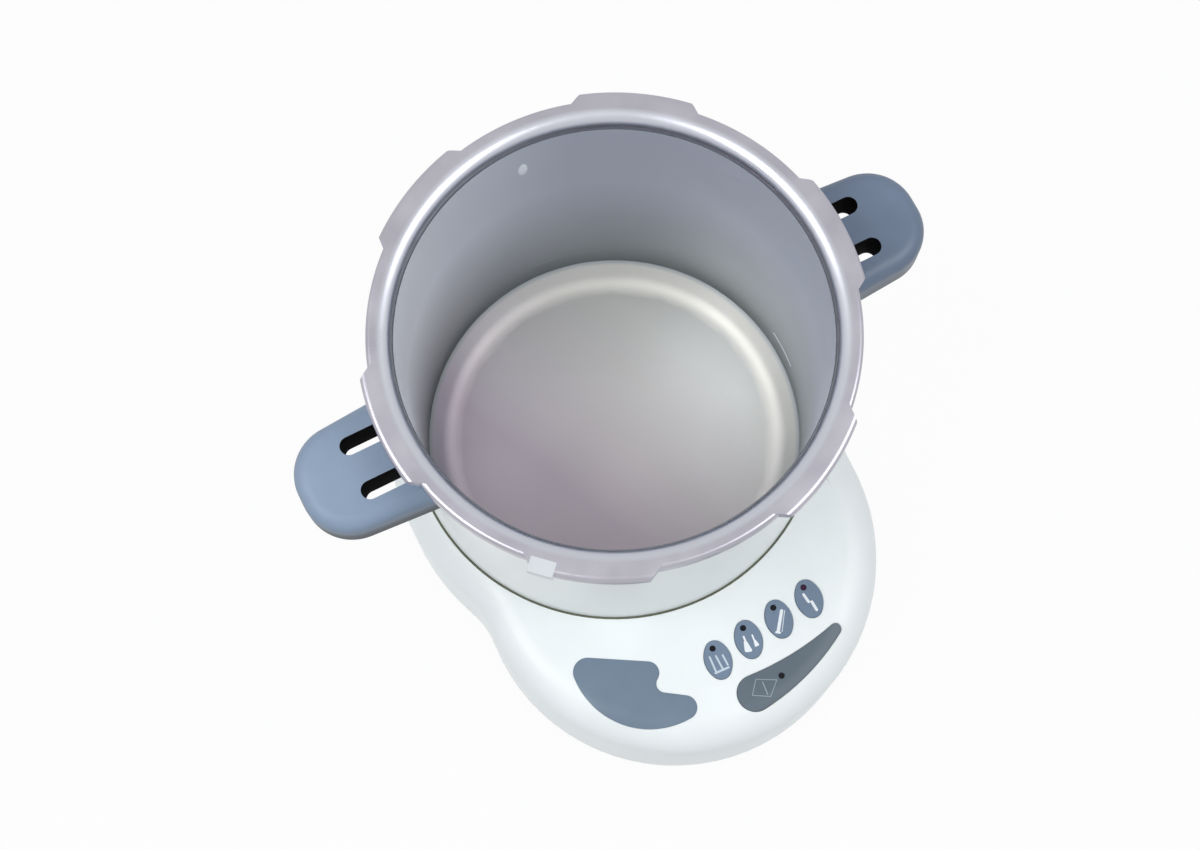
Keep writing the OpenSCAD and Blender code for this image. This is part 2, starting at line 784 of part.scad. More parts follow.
// Base pan, its feet and screws
module base_pan() {
    color("#c9cdd0") difference() {
        translate([0, 0, foot_h]) linear_extrude(pan_t) base_plan(cover_t + loose);
        at_turns(boss_ring, boss_turns) pan_hole(screw_r);
        at_lobe_turns(lobe_boss_ring, lobe_boss_turns) pan_hole(screw_r);
        at_turns(foot_ring, foot_turns) pan_hole(plug_r);
        at_lobe_turns(lobe_foot_ring, lobe_foot_turns) pan_hole(plug_r);
        at_turns(leg_screw_ring, leg_turns) pan_hole(screw_r);
        for (p = power_posts) translate(p) pan_hole(board_screw_r);
        for (i = [0 : vent_count - 1]) translate([0, (i - (vent_count - 1) / 2) * vent_pitch, foot_h - eps])
            translate([-vent_l / 2, -vent_w / 2, 0]) cube([vent_l, vent_w, pan_t + 2 * eps]);
    }
}

module pan_hole(r) {
    pin(r + fit, foot_h - eps, pan_top + eps);
}

module feet() {
    color("#3c3f42") {
        at_turns(foot_ring, foot_turns) foot();
        at_lobe_turns(lobe_foot_ring, lobe_foot_turns) foot();
    }
}

module foot() {
    rotate_extrude() round_rect(foot_r, foot_h, [0, plug_r / 2, soft_r, 0]);
    pin(plug_r, foot_h - eps, pan_top);
}

module pan_screw(top) {
    pin(screw_head_r, foot_h - screw_head_h, foot_h);
    pin(screw_r, foot_h - eps, top);
}

module pan_screws() {
    color("#a3a7ab") {
        at_turns(boss_ring, boss_turns) pan_screw(pan_top + leg_foot);
        at_lobe_turns(lobe_boss_ring, lobe_boss_turns) pan_screw(pan_top + leg_foot);
        for (p = power_posts) translate(p) {
            pin(board_head_r, foot_h - screw_head_h, foot_h);
            pin(board_screw_r, foot_h - eps, power_z - eps);
        }
    }
}

// Three legs carry the vessel and the jacket
module support_legs() {
    ledge_out = jacket_r + loose;
    foot_out = leg_web_r + leg_t + leg_foot;
    color("#b9bdc0") difference() {
        for (a = leg_turns) rotate(a) rotate([90, 0, 0]) translate([0, 0, -leg_w / 2]) linear_extrude(leg_w)
            polygon([[leg_pad_in, under_z - leg_t], [leg_pad_in, under_z], [leg_web_r + leg_t, under_z],
                [leg_web_r + leg_t, leg_ledge_z], [ledge_out, leg_ledge_z], [ledge_out, leg_ledge_z - leg_t],
                [leg_web_r + leg_t, leg_ledge_z - leg_t], [leg_web_r + leg_t, pan_top + leg_t],
                [foot_out, pan_top + leg_t], [foot_out, pan_top], [leg_web_r, pan_top],
                [leg_web_r, under_z - leg_t]]);
        at_turns(stud_ring, leg_turns) pin(stud_r + fit, under_z - leg_t - eps, under_z + eps);
        at_turns(leg_screw_ring, leg_turns) pin(screw_r + fit, pan_top - eps, pan_top + leg_t + eps);
    }
}

module nut(r_hole, z0) {
    difference() {
        translate([0, 0, z0]) cylinder(r = nut_r, h = nut_h, $fn = 6);
        pin(r_hole, z0 - eps, z0 + nut_h + eps);
    }
}

module leg_fasteners() {
    color("#a3a7ab") {
        at_turns(stud_ring, leg_turns) nut(stud_r + fit, under_z - leg_t - nut_h);
        at_turns(leg_screw_ring, leg_turns) {
            pan_screw(pan_top + leg_t + nut_h);
            translate([0, 0, pan_top + leg_t]) cylinder(r = screw_head_r, h = nut_h, $fn = 6);
        }
    }
}

// Heater under the chamber floor
module heater_plate() {
    color("#a9adb0") difference() {
        pin(plate_r, plate_z, under_z - fit);
        pin(stud_r + fit, plate_z - eps, under_z + eps);
        translate([0, 0, plate_z]) rotate_extrude() translate([element_ring, 0]) circle(r = element_r + fit);
        for (s = [-1, 1]) cutout_place() translate([0, s * cutout_screw_off, 0])
            pin(board_screw_r + fit, plate_z - eps, plate_z + plate_t / 2);
    }
}

module heating_element() {
    color("#6f6a66") {
        translate([0, 0, plate_z]) rotate(90 - element_turn / 2 + 180) rotate_extrude(angle = element_turn)
            translate([element_ring, 0]) circle(r = element_r);
        element_ends() pin(element_pin_r, plate_z - terminal_h, plate_z);
    }
}

module element_ends() {
    for (s = [-1, 1]) rotate(90 + s * (180 - element_turn / 2 + element_pin_turn))
        translate([element_ring, 0, 0]) children();
}

module element_terminals() {
    color("#e6e2d8") element_ends() difference() {
        pin(terminal_r, plate_z - element_r - terminal_h, plate_z - element_r - fit);
        pin(element_pin_r + fit, plate_z - terminal_h - element_r - eps, plate_z);
    }
}

module heat_shield() {
    color("#bfc3c5") difference() {
        union() {
            pin(shield_r, shield_z, shield_z + shield_t);
            tube(shield_r - shield_t, shield_r, shield_z, shield_z + shield_lip);
        }
        pin(stud_r + fit, shield_z - eps, shield_z + shield_t + eps);
        element_ends() pin(terminal_r + shield_gap, shield_z - eps, shield_z + shield_t + eps);
    }
}

module shield_fasteners() {
    color("#a3a7ab") {
        nut(stud_r + fit, plate_z - nut_h);
        tube(stud_r + fit, spacer_r, shield_z + shield_t, plate_z - nut_h);
        nut(stud_r + fit, shield_z - nut_h);
    }
}

module probe_place() {
    rotate(probe_turn) translate([probe_ring, 0, under_z - probe_r - fit]) rotate([90, 0, 0]) children();
}

module temperature_probe() {
    color("#c4c7c9") probe_place() {
        translate([0, 0, -probe_l / 2]) cylinder(r = probe_r, h = probe_l);
        translate([0, 0, probe_l / 2]) cylinder(r = probe_lead_r, h = probe_l / 2);
    }
}

module probe_clip() {
    color("#8d9298") difference() {
        rotate(probe_turn) translate([probe_ring - clip_w / 2, -clip_l / 2, under_z - clip_h])
            cube([clip_w, clip_l, clip_h]);
        probe_place() translate([0, 0, -clip_l]) cylinder(r = probe_r + 2 * fit, h = 2 * clip_l);
    }
}

module cutout_place() {
    rotate(cutout_turn) translate([cutout_ring, 0, 0]) children();
}

module cutout_thermostat() {
    color("#4a4d50") cutout_place() {
        pin(cutout_r, plate_z - cutout_h, plate_z - fit);
        translate([-cutout_r / 2, -cutout_flange_l / 2, plate_z - cutout_flange_t - fit])
            cube([cutout_r, cutout_flange_l, cutout_flange_t]);
        for (s = [-1, 1]) translate([s * cutout_r / 2, 0, plate_z - cutout_h])
            translate([-cutout_blade[0] / 2, -cutout_blade[1] / 2, 0]) cube(cutout_blade);
        for (s = [-1, 1]) translate([0, s * cutout_screw_off, 0]) {
            pin(board_screw_r, plate_z - cutout_flange_t - fit - eps, plate_z + plate_t / 2 - fit);
            pin(board_head_r, plate_z - cutout_flange_t - fit - board_head_h, plate_z - cutout_flange_t);
        }
    }
}

// Keys, switches and control board
module key_under_parts(top) {
    pin(stem_r, board_z + board_t + tact_h + key_travel + loose, top);
    pin(plunger_r, board_z + board_t + tact_floor + key_travel + loose, top);
}

module key_program(i) {
    flange_top = key_under - loose;
    color("#8799b0") key_place(i) difference() {
        union() {
            translate([0, 0, flange_top - key_flange_t])
                linear_extrude(cover_z + key_proud - flange_top + key_flange_t) rotate(90) oval(0);
            translate([0, 0, flange_top - key_flange_t]) linear_extrude(key_flange_t) rotate(90)
                oval(key_flange_w);
            translate([0, stem_off, 0]) key_under_parts(flange_top);
        }
        translate(led_at) pin(led_r + loose, flange_top - key_flange_t - eps, cover_z + key_proud + eps);
    }
}

module key_start() {
    flange_top = key_under - loose;
    color("#65737f") difference() {
        union() {
            intersection() {
                translate([0, 0, cover_z - start_deep]) linear_extrude(2 * start_deep) start_plan(0);
                lobe_skin(-key_proud, cover_t + loose + key_flange_t / 2);
            }
            intersection() {
                translate([0, 0, cover_z - start_deep]) linear_extrude(start_deep) start_plan(key_flange_w);
                lobe_skin(cover_t + loose, cover_t + loose + key_flange_t);
            }
            for (p = start_stems) translate(p) key_under_parts(flange_top);
        }
        translate(start_led) pin(led_r + loose, flange_top - key_flange_t - eps, cover_z + key_proud + eps);
    }
}

module light_pipe() {
    pin(led_r, board_z + board_t, cover_z + key_proud - loose / 2);
}

module light_pipes() {
    color("#2a2430") {
        for (i = [0 : 3]) key_place(i) translate(led_at) light_pipe();
        translate(start_led) light_pipe();
    }
}

module tact() {
    difference() {
        translate([-tact_w / 2, -tact_w / 2, board_z + board_t]) cube([tact_w, tact_w, tact_h]);
        pin(plunger_r + loose, board_z + board_t + tact_floor, board_z + board_t + tact_h + eps);
    }
}

module key_switches() {
    color("#222528") {
        for (i = [0 : 3]) key_place(i) translate([0, stem_off, 0]) tact();
        for (p = start_stems) translate(p) tact();
    }
}

module board_plan(r_in, r_out, xs) {
    difference() {
        intersection() {
            translate([0, -lobe_y]) circle(r = r_out);
            translate([xs[0], -lobe_y - lobe_r]) square([xs[1] - xs[0], lobe_r]);
        }
        circle(r = r_in);
        at_lobe_turns(lobe_boss_ring, lobe_boss_turns) circle(r = boss_r + soft_r);
    }
}

module control_board() {
    color("#2f6b4c") difference() {
        translate([0, 0, board_z]) linear_extrude(board_t) board_plan(board_in, board_out, board_x);
        for (p = board_holes) translate(p) pin(board_screw_r + fit, board_z - eps, board_z + board_t + eps);
    }
}

module board_screws() {
    color("#a3a7ab") for (p = board_holes) translate(p) {
        pin(board_head_r, board_z - board_head_h, board_z);
        pin(board_screw_r, board_z - eps, board_z + board_t + board_screw_l);
    }
}

module badge_inlay() {
    color("#788ca4") badge_sheet(0, badge_sink - badge_t, badge_sink);
}

// Power board
module power_board() {
    color("#2f6b4c") difference() {
        translate([0, 0, power_z]) linear_extrude(board_t) board_plan(power_in, power_out, power_x);
        for (p = power_posts) translate(p) pin(board_screw_r + fit, power_z - eps, power_z + board_t + eps);
    }
}

module board_parts() {
    top = power_z + board_t;
    color("#33373b") {
        translate([transformer_at[0], transformer_at[1], top]) cube(transformer);
        translate([relay_at[0], relay_at[1], top]) cube(relay);
        translate(cap_at) pin(cap_r, top, top + cap_h);
        translate([sink_at[0], sink_at[1], top]) {
            for (i = [0 : sink_fins - 1]) translate([2 * i * sink_fin[0], 0, 0]) cube(sink_fin);
            cube([(2 * sink_fins - 1) * sink_fin[0], sink_fin[1], sink_fin[0]]);
        }
    }
}

module power_posts() {
    color("#c9b878") for (p = power_posts) translate(p) {
        tube(board_screw_r + fit, post_r, pan_top, power_z);
        pin(board_screw_r, power_z - eps + fit, power_z + board_t + eps);
        pin(board_head_r, power_z + board_t, power_z + board_t + board_head_h);
    }
}

// Connector bay on the lobe's right flank
module socket_plan() {
    x = socket_w / 2;
    y = socket_h / 2;
    polygon([[-x, -y], [x, -y], [x, y - socket_cut], [x - socket_cut, y], [socket_cut - x, y],
        [-x, y - socket_cut]]);
}

module face_plate(w, h, t, r) {
    rotate([90, 0, 90]) linear_extrude(t) translate([-w / 2, -h / 2]) round_rect(w, h, [r, r, r, r]);
}

module mains_inlet() {
    color("#1f2123") on_bay(inlet_off, 0) difference() {
        union() {
            face_plate(inlet_w, inlet_h, inlet_flange_t, panel_screw_r);
            translate([-inlet_body[0], -inlet_body[1] / 2, -inlet_body[2] / 2])
                cube([inlet_body[0] + eps, inlet_body[1], inlet_body[2]]);
        }
        translate([inlet_flange_t + eps - socket_deep, 0, socket_z]) rotate([90, 0, 90])
            linear_extrude(socket_deep) socket_plan();
        translate([inlet_flange_t - drawer_deep - loose, 0, drawer_z])
            translate([0, -drawer_w / 2 - loose, -drawer_h / 2 - loose])
                cube([drawer_deep + loose + eps, drawer_w + 2 * loose, drawer_h + 2 * loose]);
        for (s = [-1, 1]) translate([0, 0, s * panel_screw_z]) panel_screw_hole();
        for (s = [-1, 1]) translate([0, 0, s * panel_screw_z]) rotate([0, 90, 0])
            cylinder(r = panel_screw_r + fit, h = inlet_flange_t + eps);
    }
}

module inlet_pins() {
    color("#c8cacc") on_bay(inlet_off, socket_z) for (i = [-1 : 1])
        translate([inlet_flange_t + eps - socket_deep, i * blade_off - blade[1] / 2,
            (1 - 2 * abs(i)) * blade_lift - blade[2] / 2]) cube(blade);
}

module fuse_drawer() {
    color("#2b2e31") on_bay(inlet_off, drawer_z) {
        translate([inlet_flange_t - drawer_deep, -drawer_w / 2, -drawer_h / 2])
            cube([drawer_deep, drawer_w, drawer_h]);
        translate([inlet_flange_t - eps, -drawer_w / 4, -drawer_h / 4])
            cube([drawer_lip + eps, drawer_w / 2, drawer_h / 2]);
    }
}

module switch_bezel() {
    color("#1f2123") on_bay(switch_off, 0) difference() {
        union() {
            face_plate(switch_w, switch_h, inlet_flange_t, panel_screw_r);
            translate([-switch_body[0], -switch_body[1] / 2, -switch_body[2] / 2])
                cube([switch_body[0] + eps, switch_body[1], switch_body[2]]);
        }
        translate([inlet_flange_t - well_deep, -well_w / 2, -well_h / 2])
            cube([well_deep + eps, well_w, well_h]);
        translate([-pivot_in, -switch_body[1] / 2 + loose, 0]) rotate([-90, 0, 0])
            cylinder(r = pivot_r + fit, h = switch_body[1] - 2 * loose);
    }
}

module rocker() {
    high = paddle_h / 2;
    color("#2b2e31") on_bay(switch_off, 0) translate([-pivot_in, 0, 0]) rotate([0, rocker_tilt, 0]) {
        rotate([90, 0, 0]) translate([0, 0, -paddle_w / 2]) linear_extrude(paddle_w)
            polygon([[-paddle_back, -high], [paddle_edge, -high], [paddle_front, 0],
                [paddle_edge, high], [-paddle_back, high], [-paddle_keel, 0]]);
        translate([0, -switch_body[1] / 2 + 2 * loose, 0]) rotate([-90, 0, 0])
            cylinder(r = pivot_r, h = switch_body[1] - 4 * loose);
    }
}

module panel_screws() {
    color("#a3a7ab") on_bay(inlet_off, 0) for (s = [-1, 1])
        translate([0, 0, s * panel_screw_z]) rotate([0, 90, 0]) {
            translate([0, 0, -panel_screw_end])
                cylinder(r = panel_screw_r, h = panel_screw_end + inlet_flange_t);
            translate([0, 0, inlet_flange_t]) cylinder(r = board_head_r, h = board_head_h);
        }
}

chamber_vessel();
bayonet_rim();
lock_catch();
insulation_sleeve();
jacket_shell();
base_cover();
base_pan();
feet();
pan_screws();
support_legs();
leg_fasteners();
heater_plate();
heating_element();
element_terminals();
heat_shield();
shield_fasteners();
temperature_probe();
probe_clip();
cutout_thermostat();
handle(180);  // handle_left
handle(0);  // handle_right
handle_bracket(180);  // handle_bracket_left
handle_bracket(0);  // handle_bracket_right
handle_screw_pair(180);  // handle_screws_left
handle_screw_pair(0);  // handle_screws_right
control_board();
key_switches();
light_pipes();
board_screws();
key_program(0);  // key_program_1
key_program(1);  // key_program_2
key_program(2);  // key_program_3
key_program(3);  // key_program_4
key_start();
badge_inlay();
power_board();
board_parts();
power_posts();
mains_inlet();
inlet_pins();
fuse_drawer();
switch_bezel();
rocker();
panel_screws();
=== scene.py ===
# %% [markdown]
# # Dressing a tabletop autoclave
# The solids of an open pot autoclave come in as a fixed frame: a deep steel chamber under a bayonet
# rim, a grey jacket, two slotted handles and a pear-shaped white base with oval keys. This lesson
# gives every solid its finish, smooths the moulded cover and prints the small pictures on the keys.

# %% Load the solids
import json
import math

import bmesh
import bpy
from mathutils import Matrix, Vector

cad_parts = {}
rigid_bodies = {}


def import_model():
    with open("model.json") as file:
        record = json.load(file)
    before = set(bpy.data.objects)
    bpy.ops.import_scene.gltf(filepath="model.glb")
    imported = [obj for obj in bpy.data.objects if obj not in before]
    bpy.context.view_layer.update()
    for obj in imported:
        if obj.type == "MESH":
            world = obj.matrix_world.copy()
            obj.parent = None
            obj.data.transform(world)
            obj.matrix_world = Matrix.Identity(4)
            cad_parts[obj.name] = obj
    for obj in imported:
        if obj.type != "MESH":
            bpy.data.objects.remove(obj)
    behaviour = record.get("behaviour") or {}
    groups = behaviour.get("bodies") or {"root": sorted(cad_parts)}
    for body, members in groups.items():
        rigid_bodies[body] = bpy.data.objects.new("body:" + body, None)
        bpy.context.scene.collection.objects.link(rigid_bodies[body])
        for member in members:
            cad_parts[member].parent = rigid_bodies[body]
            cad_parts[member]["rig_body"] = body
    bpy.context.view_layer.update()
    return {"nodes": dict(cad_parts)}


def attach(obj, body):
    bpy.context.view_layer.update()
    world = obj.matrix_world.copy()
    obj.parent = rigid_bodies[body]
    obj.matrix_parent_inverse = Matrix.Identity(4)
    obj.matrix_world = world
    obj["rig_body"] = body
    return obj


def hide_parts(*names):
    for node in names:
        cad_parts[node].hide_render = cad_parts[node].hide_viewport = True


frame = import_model()
solids = frame["nodes"]

# %% [markdown]
# ## Camera
# A camera is best matched before any finish is chosen, because gloss depends on where it stands.
# The pot is looked into from above and from a little to the left of the key panel. The place and
# the turns were solved from the circles of the rim and the chamber floor. So was the focal length,
# in pixels of the picture, and the sensor's width turns it into millimetres.

# %% Camera
PICTURE_WIDTH, FOCAL_PIXELS, SENSOR_WIDTH = 1200, 1854, 36
scene = bpy.context.scene
scene.view_settings.view_transform = "Standard"
camera = bpy.data.objects.new("camera", bpy.data.cameras.new("camera"))
scene.collection.objects.link(camera)
camera.location = (-0.1355, -0.2905, 1.2120)
camera.rotation_euler = [math.radians(a) for a in (15.734, 0.403, -24.817)]
camera.data.sensor_width = SENSOR_WIDTH
camera.data.lens = SENSOR_WIDTH * FOCAL_PIXELS / PICTURE_WIDTH
scene.camera = camera
print("lens", round(camera.data.lens, 2), "mm")

# %% [markdown]
# ## Helpers for finishes
# Hex values are what a maker reads off a colour card, but shaders work in linear light, so one
# function converts them. Another adds a node with its settings and links in one call, which keeps
# each recipe short enough to read. A node's sockets are picked by name where their names differ.
# Those of a math node or a Mix Shader are counted from 0, and a Mix node's sockets for colours have
# the numbers below. A noise seldom leaves the range from 0.3 to 0.7, so that range is stretched.

# %% Colour and node helpers
MM = 0.001
FACTOR, FIRST, SECOND, MIXED = 0, 6, 7, 2
NOISE_LOW, NOISE_HIGH = 0.3, 0.7


def linear(hex_code):
    values = [int(hex_code[i:i + 2], 16) / 255 for i in (1, 3, 5)]
    light = [v / 12.92 if v <= 0.04045 else ((v + 0.055) / 1.055) ** 2.4 for v in values]
    return tuple(light + [1.0])


def add(tree, kind, links=None, **settings):
    node = tree.nodes.new(kind)
    for key, value in settings.items():
        setattr(node, key, value)
    for socket, value in (links or {}).items():
        target = node.inputs[socket]
        if isinstance(value, bpy.types.NodeSocket):
            tree.links.new(value, target)
        else:
            target.default_value = value
    return node


def new_finish(name):
    finish = bpy.data.materials.new(name)
    finish.use_nodes = True
    tree = finish.node_tree
    tree.nodes.clear()
    place = add(tree, "ShaderNodeTexCoord").outputs["Object"]
    return finish, tree, place


def close_finish(tree, surface):
    add(tree, "ShaderNodeOutputMaterial", {"Surface": surface.outputs[0]})


print("helpers ready")

# %% [markdown]
# No real surface is even. A soft cloud of noise, some centimetres across, moves tone and gloss
# together a little, as making and handling leave them. Most finishes below share it.

# %% Clouded tone and gloss
SMOOTHER, ROUGHER = 0.04, 0.05


def clouded(tree, place, patch_mm, detail, low_hex, high_hex, rough):
    cloud = add(tree, "ShaderNodeTexNoise", {
        "Vector": place, "Scale": 1 / (patch_mm * MM), "Detail": detail}).outputs[0]
    cloud = add(tree, "ShaderNodeMapRange", {
        "Value": cloud, "From Min": NOISE_LOW, "From Max": NOISE_HIGH}).outputs[0]
    colour = add(tree, "ShaderNodeMix", {
        FACTOR: cloud, FIRST: linear(low_hex), SECOND: linear(high_hex)},
        data_type="RGBA").outputs[MIXED]
    sheen = add(tree, "ShaderNodeMapRange", {
        "Value": cloud, "To Min": rough - SMOOTHER, "To Max": rough + ROUGHER}).outputs[0]
    return colour, sheen


print("cloud swings roughness by", SMOOTHER + ROUGHER)

# %% [markdown]
# ## Metals
# The chamber is drawn from one disc of stainless steel, which leaves faint lines up its wall and a
# satin surface. A noise that is stretched along Z gives those lines, and a slow haze varies the
# gloss. A bump's depth is a tenth of a millimetre here and in all finishes that follow.

# %% Drawn stainless steel: lines and gloss
DRAWN_LINE, DRAWN_STRETCH, HAZE_PATCH = 1.5 * MM, 0.04, 80 * MM
BUMP_DEPTH, LINE_STRENGTH = 0.1 * MM, 0.06
WALL_FROM, WALL_TO = 51 * MM, 53 * MM
FLOOR_ROUGH, WALL_ROUGH, ROUGH_SWING = 0.5, 0.56, 0.04

chamber_steel, tree, place = new_finish("drawn stainless steel")
height = add(tree, "ShaderNodeSeparateXYZ", {"Vector": place}).outputs["Z"]
wall = add(tree, "ShaderNodeMapRange", {
    "Value": height, "From Min": WALL_FROM, "From Max": WALL_TO}).outputs[0]
along = add(tree, "ShaderNodeMapping", {
    "Vector": place, "Scale": (1, 1, DRAWN_STRETCH)}).outputs[0]
lines = add(tree, "ShaderNodeTexNoise", {
    "Vector": along, "Scale": 1 / DRAWN_LINE, "Detail": 3}).outputs[0]
haze = add(tree, "ShaderNodeTexNoise", {
    "Vector": place, "Scale": 1 / HAZE_PATCH, "Detail": 1}).outputs[0]
satin = add(tree, "ShaderNodeMapRange", {
    "Value": wall, "To Min": FLOOR_ROUGH, "To Max": WALL_ROUGH}).outputs[0]
swing = add(tree, "ShaderNodeMapRange", {
    "Value": haze, "From Min": NOISE_LOW, "From Max": NOISE_HIGH,
    "To Min": -ROUGH_SWING, "To Max": ROUGH_SWING}).outputs[0]
sheen = add(tree, "ShaderNodeMath", {0: satin, 1: swing}, operation="ADD").outputs[0]
bump = add(tree, "ShaderNodeBump", {
    "Height": lines, "Strength": LINE_STRENGTH, "Distance": BUMP_DEPTH}).outputs[0]
print("chamber steel has lines and gloss")

# %% [markdown]
# The steel's tone is painted with light and shade. The floor is a mauve grey on the left, a painted
# shade, and pale on the right, a painted light; the ring round it has a painted shade near the
# wall.
# The wall is bluish grey, with painted shade low down and painted light higher up. So the painted
# tone is picked by height and by place across the pot, both on Object coordinates. The very top of
# the wall is dark, a painted shade under the rim.

# %% Drawn stainless steel: painted light and shade by place
ACROSS = (0.9, 0.44, 0)
LEFT_END, RIGHT_END = -45 * MM, 75 * MM
RING_FROM, RING_TO, RING_SHADE_SHARE = 43.4 * MM, 46 * MM, 0.1
RISE_FROM, RISE_TO = 55 * MM, 185 * MM
SEAM_FROM, SEAM_TO = 258 * MM, 258.8 * MM

# Every tone below is painted light and shade, picked by height and by place across the pot.
across = add(tree, "ShaderNodeVectorMath", {0: place, 1: ACROSS},
             operation="DOT_PRODUCT").outputs["Value"]
across = add(tree, "ShaderNodeMapRange", {
    "Value": across, "From Min": LEFT_END, "From Max": RIGHT_END}).outputs[0]
# The ring round the floor takes a share of painted shade near the wall.
ring_shade = add(tree, "ShaderNodeMapRange", {
    "Value": height, "From Min": RING_FROM, "From Max": RING_TO,
    "To Max": RING_SHADE_SHARE}).outputs[0]
rise = add(tree, "ShaderNodeMapRange", {
    "Value": height, "From Min": RISE_FROM, "From Max": RISE_TO}).outputs[0]
# The dark band at the very top of the wall is painted shade where the rim sits on it.
seam_shade = add(tree, "ShaderNodeMapRange", {
    "Value": height, "From Min": SEAM_FROM, "From Max": SEAM_TO}).outputs[0]
# The floor: painted shade on the left, painted light on the right.
floor_light_and_shade = add(tree, "ShaderNodeMix", {
    FACTOR: across, FIRST: linear("#a39aa1"), SECOND: linear("#d6d5ce")},
    data_type="RGBA").outputs[MIXED]
floor_light_and_shade = add(tree, "ShaderNodeMix", {
    FACTOR: ring_shade, FIRST: floor_light_and_shade, SECOND: linear("#64676b")},
    data_type="RGBA").outputs[MIXED]
# The wall: painted shade low down and painted light higher up, both strongest on the left.
low = add(tree, "ShaderNodeMix", {
    FACTOR: across, FIRST: linear("#878d8b"), SECOND: linear("#a6acb0")},
    data_type="RGBA").outputs[MIXED]
high = add(tree, "ShaderNodeMix", {
    FACTOR: across, FIRST: linear("#f6f9ff"), SECOND: linear("#d6dcea")},
    data_type="RGBA").outputs[MIXED]
wall_light_and_shade = add(tree, "ShaderNodeMix", {
    FACTOR: rise, FIRST: low, SECOND: high}, data_type="RGBA").outputs[MIXED]
painted_light_tint = add(tree, "ShaderNodeMix", {
    FACTOR: wall, FIRST: floor_light_and_shade, SECOND: wall_light_and_shade}, data_type="RGBA").outputs[MIXED]
painted_light_tint = add(tree, "ShaderNodeMix", {
    FACTOR: seam_shade, FIRST: painted_light_tint, SECOND: linear("#686d76")},
    data_type="RGBA").outputs[MIXED]
close_finish(tree, add(tree, "ShaderNodeBsdfPrincipled", {
    "Base Color": painted_light_tint, "Metallic": 1.0, "Roughness": sheen, "Normal": bump}))
print("chamber steel ready")

# %% [markdown]
# The rim is turned on a lathe, so its grooves are circles round the pot's axis. A wave texture in
# rings gives them. At a scale of 1 its waves are 0.314 long, so that length over the pitch gives
# the scale. Real grooves are some 0.1 mm apart and would vanish at this distance, so they are drawn
# 1.2 mm apart and kept weak. The rim's inner round carries a painted highlight: it is a shade
# brighter than the rest, so its tone changes with the distance from the axis.

# %% Turned aluminium
WAVE_LENGTH, GROOVE_STRENGTH = 0.314, 0.02
RIM_ROUND_OUT, ROUND_BLEND = 129.0, 2.5
METAL_PATCH = 30


def turned_aluminium(name, low_hex, high_hex, rough, pitch_mm, painted_highlight_inside_mm=0.0):
    finish, tree, place = new_finish(name)
    rings = add(tree, "ShaderNodeTexWave", {
        "Vector": place, "Scale": WAVE_LENGTH / (pitch_mm * MM), "Distortion": 0.3},
        wave_type="RINGS", rings_direction="Z").outputs[1]
    colour, sheen = clouded(tree, place, METAL_PATCH, 3, low_hex, high_hex, rough)
    # A lighter tone inside this radius is a painted highlight on the rim's inner round.
    if painted_highlight_inside_mm:
        flat = add(tree, "ShaderNodeVectorMath", {0: place, 1: (1, 1, 0)},
                   operation="MULTIPLY").outputs["Vector"]
        out = add(tree, "ShaderNodeVectorMath", {0: flat}, operation="LENGTH").outputs["Value"]
        outside = add(tree, "ShaderNodeMapRange", {
            "Value": out, "From Min": (painted_highlight_inside_mm - ROUND_BLEND) * MM,
            "From Max": painted_highlight_inside_mm * MM}).outputs[0]
        colour = add(tree, "ShaderNodeMix", {
            FACTOR: outside, FIRST: linear("#c0c2cb"), SECOND: colour},
            data_type="RGBA").outputs[MIXED]
    bump = add(tree, "ShaderNodeBump", {
        "Height": rings, "Strength": GROOVE_STRENGTH, "Distance": BUMP_DEPTH}).outputs[0]
    close_finish(tree, add(tree, "ShaderNodeBsdfPrincipled", {
        "Base Color": colour, "Metallic": 1.0, "Roughness": sheen, "Normal": bump}))
    return finish


rim_aluminium = turned_aluminium(
    "turned aluminium", "#a9a8b2", "#b7b5be", 0.3, 1.2, painted_highlight_inside_mm=RIM_ROUND_OUT)
plate_aluminium = turned_aluminium("milled aluminium plate", "#a6aaad", "#b9bdc0", 0.45, 2.0)
pressed_aluminium = turned_aluminium("pressed aluminium sheet", "#c2c6c8", "#d3d6d8", 0.3, 3.0)
print("turned metals ready")

# %% [markdown]
# Screws, legs and brackets are plain steel with a thin zinc coat. Zinc crystals leave a mottled
# grey, which a Voronoi texture shows well. The same recipe serves nickel and brass.

# %% Plated metals
CRYSTAL_SMOOTHER, CRYSTAL_ROUGHER = 0.05, 0.1


def plated_metal(name, low_hex, high_hex, rough, grain_mm):
    finish, tree, place = new_finish(name)
    crystals = add(tree, "ShaderNodeTexVoronoi", {
        "Vector": place, "Scale": 1 / (grain_mm * MM)}).outputs[0]
    colour = add(tree, "ShaderNodeMix", {
        FACTOR: crystals, FIRST: linear(low_hex), SECOND: linear(high_hex)},
        data_type="RGBA").outputs[MIXED]
    sheen = add(tree, "ShaderNodeMapRange", {
        "Value": crystals, "To Min": rough - CRYSTAL_SMOOTHER,
        "To Max": rough + CRYSTAL_ROUGHER}).outputs[0]
    close_finish(tree, add(tree, "ShaderNodeBsdfPrincipled", {
        "Base Color": colour, "Metallic": 1.0, "Roughness": sheen}))
    return finish


zinc_steel = plated_metal("zinc plated steel", "#9a9fa4", "#b4b8bc", 0.38, 2.5)
nickel_pins = plated_metal("nickel plated brass", "#c2c4c2", "#d8d9d6", 0.22, 3.0)
turned_brass = plated_metal("turned brass", "#b59a55", "#cdb575", 0.3, 3.0)
heated_steel = plated_metal("heat tinted steel sheath", "#5c5450", "#7c706a", 0.5, 6.0)
print("plated metals ready")

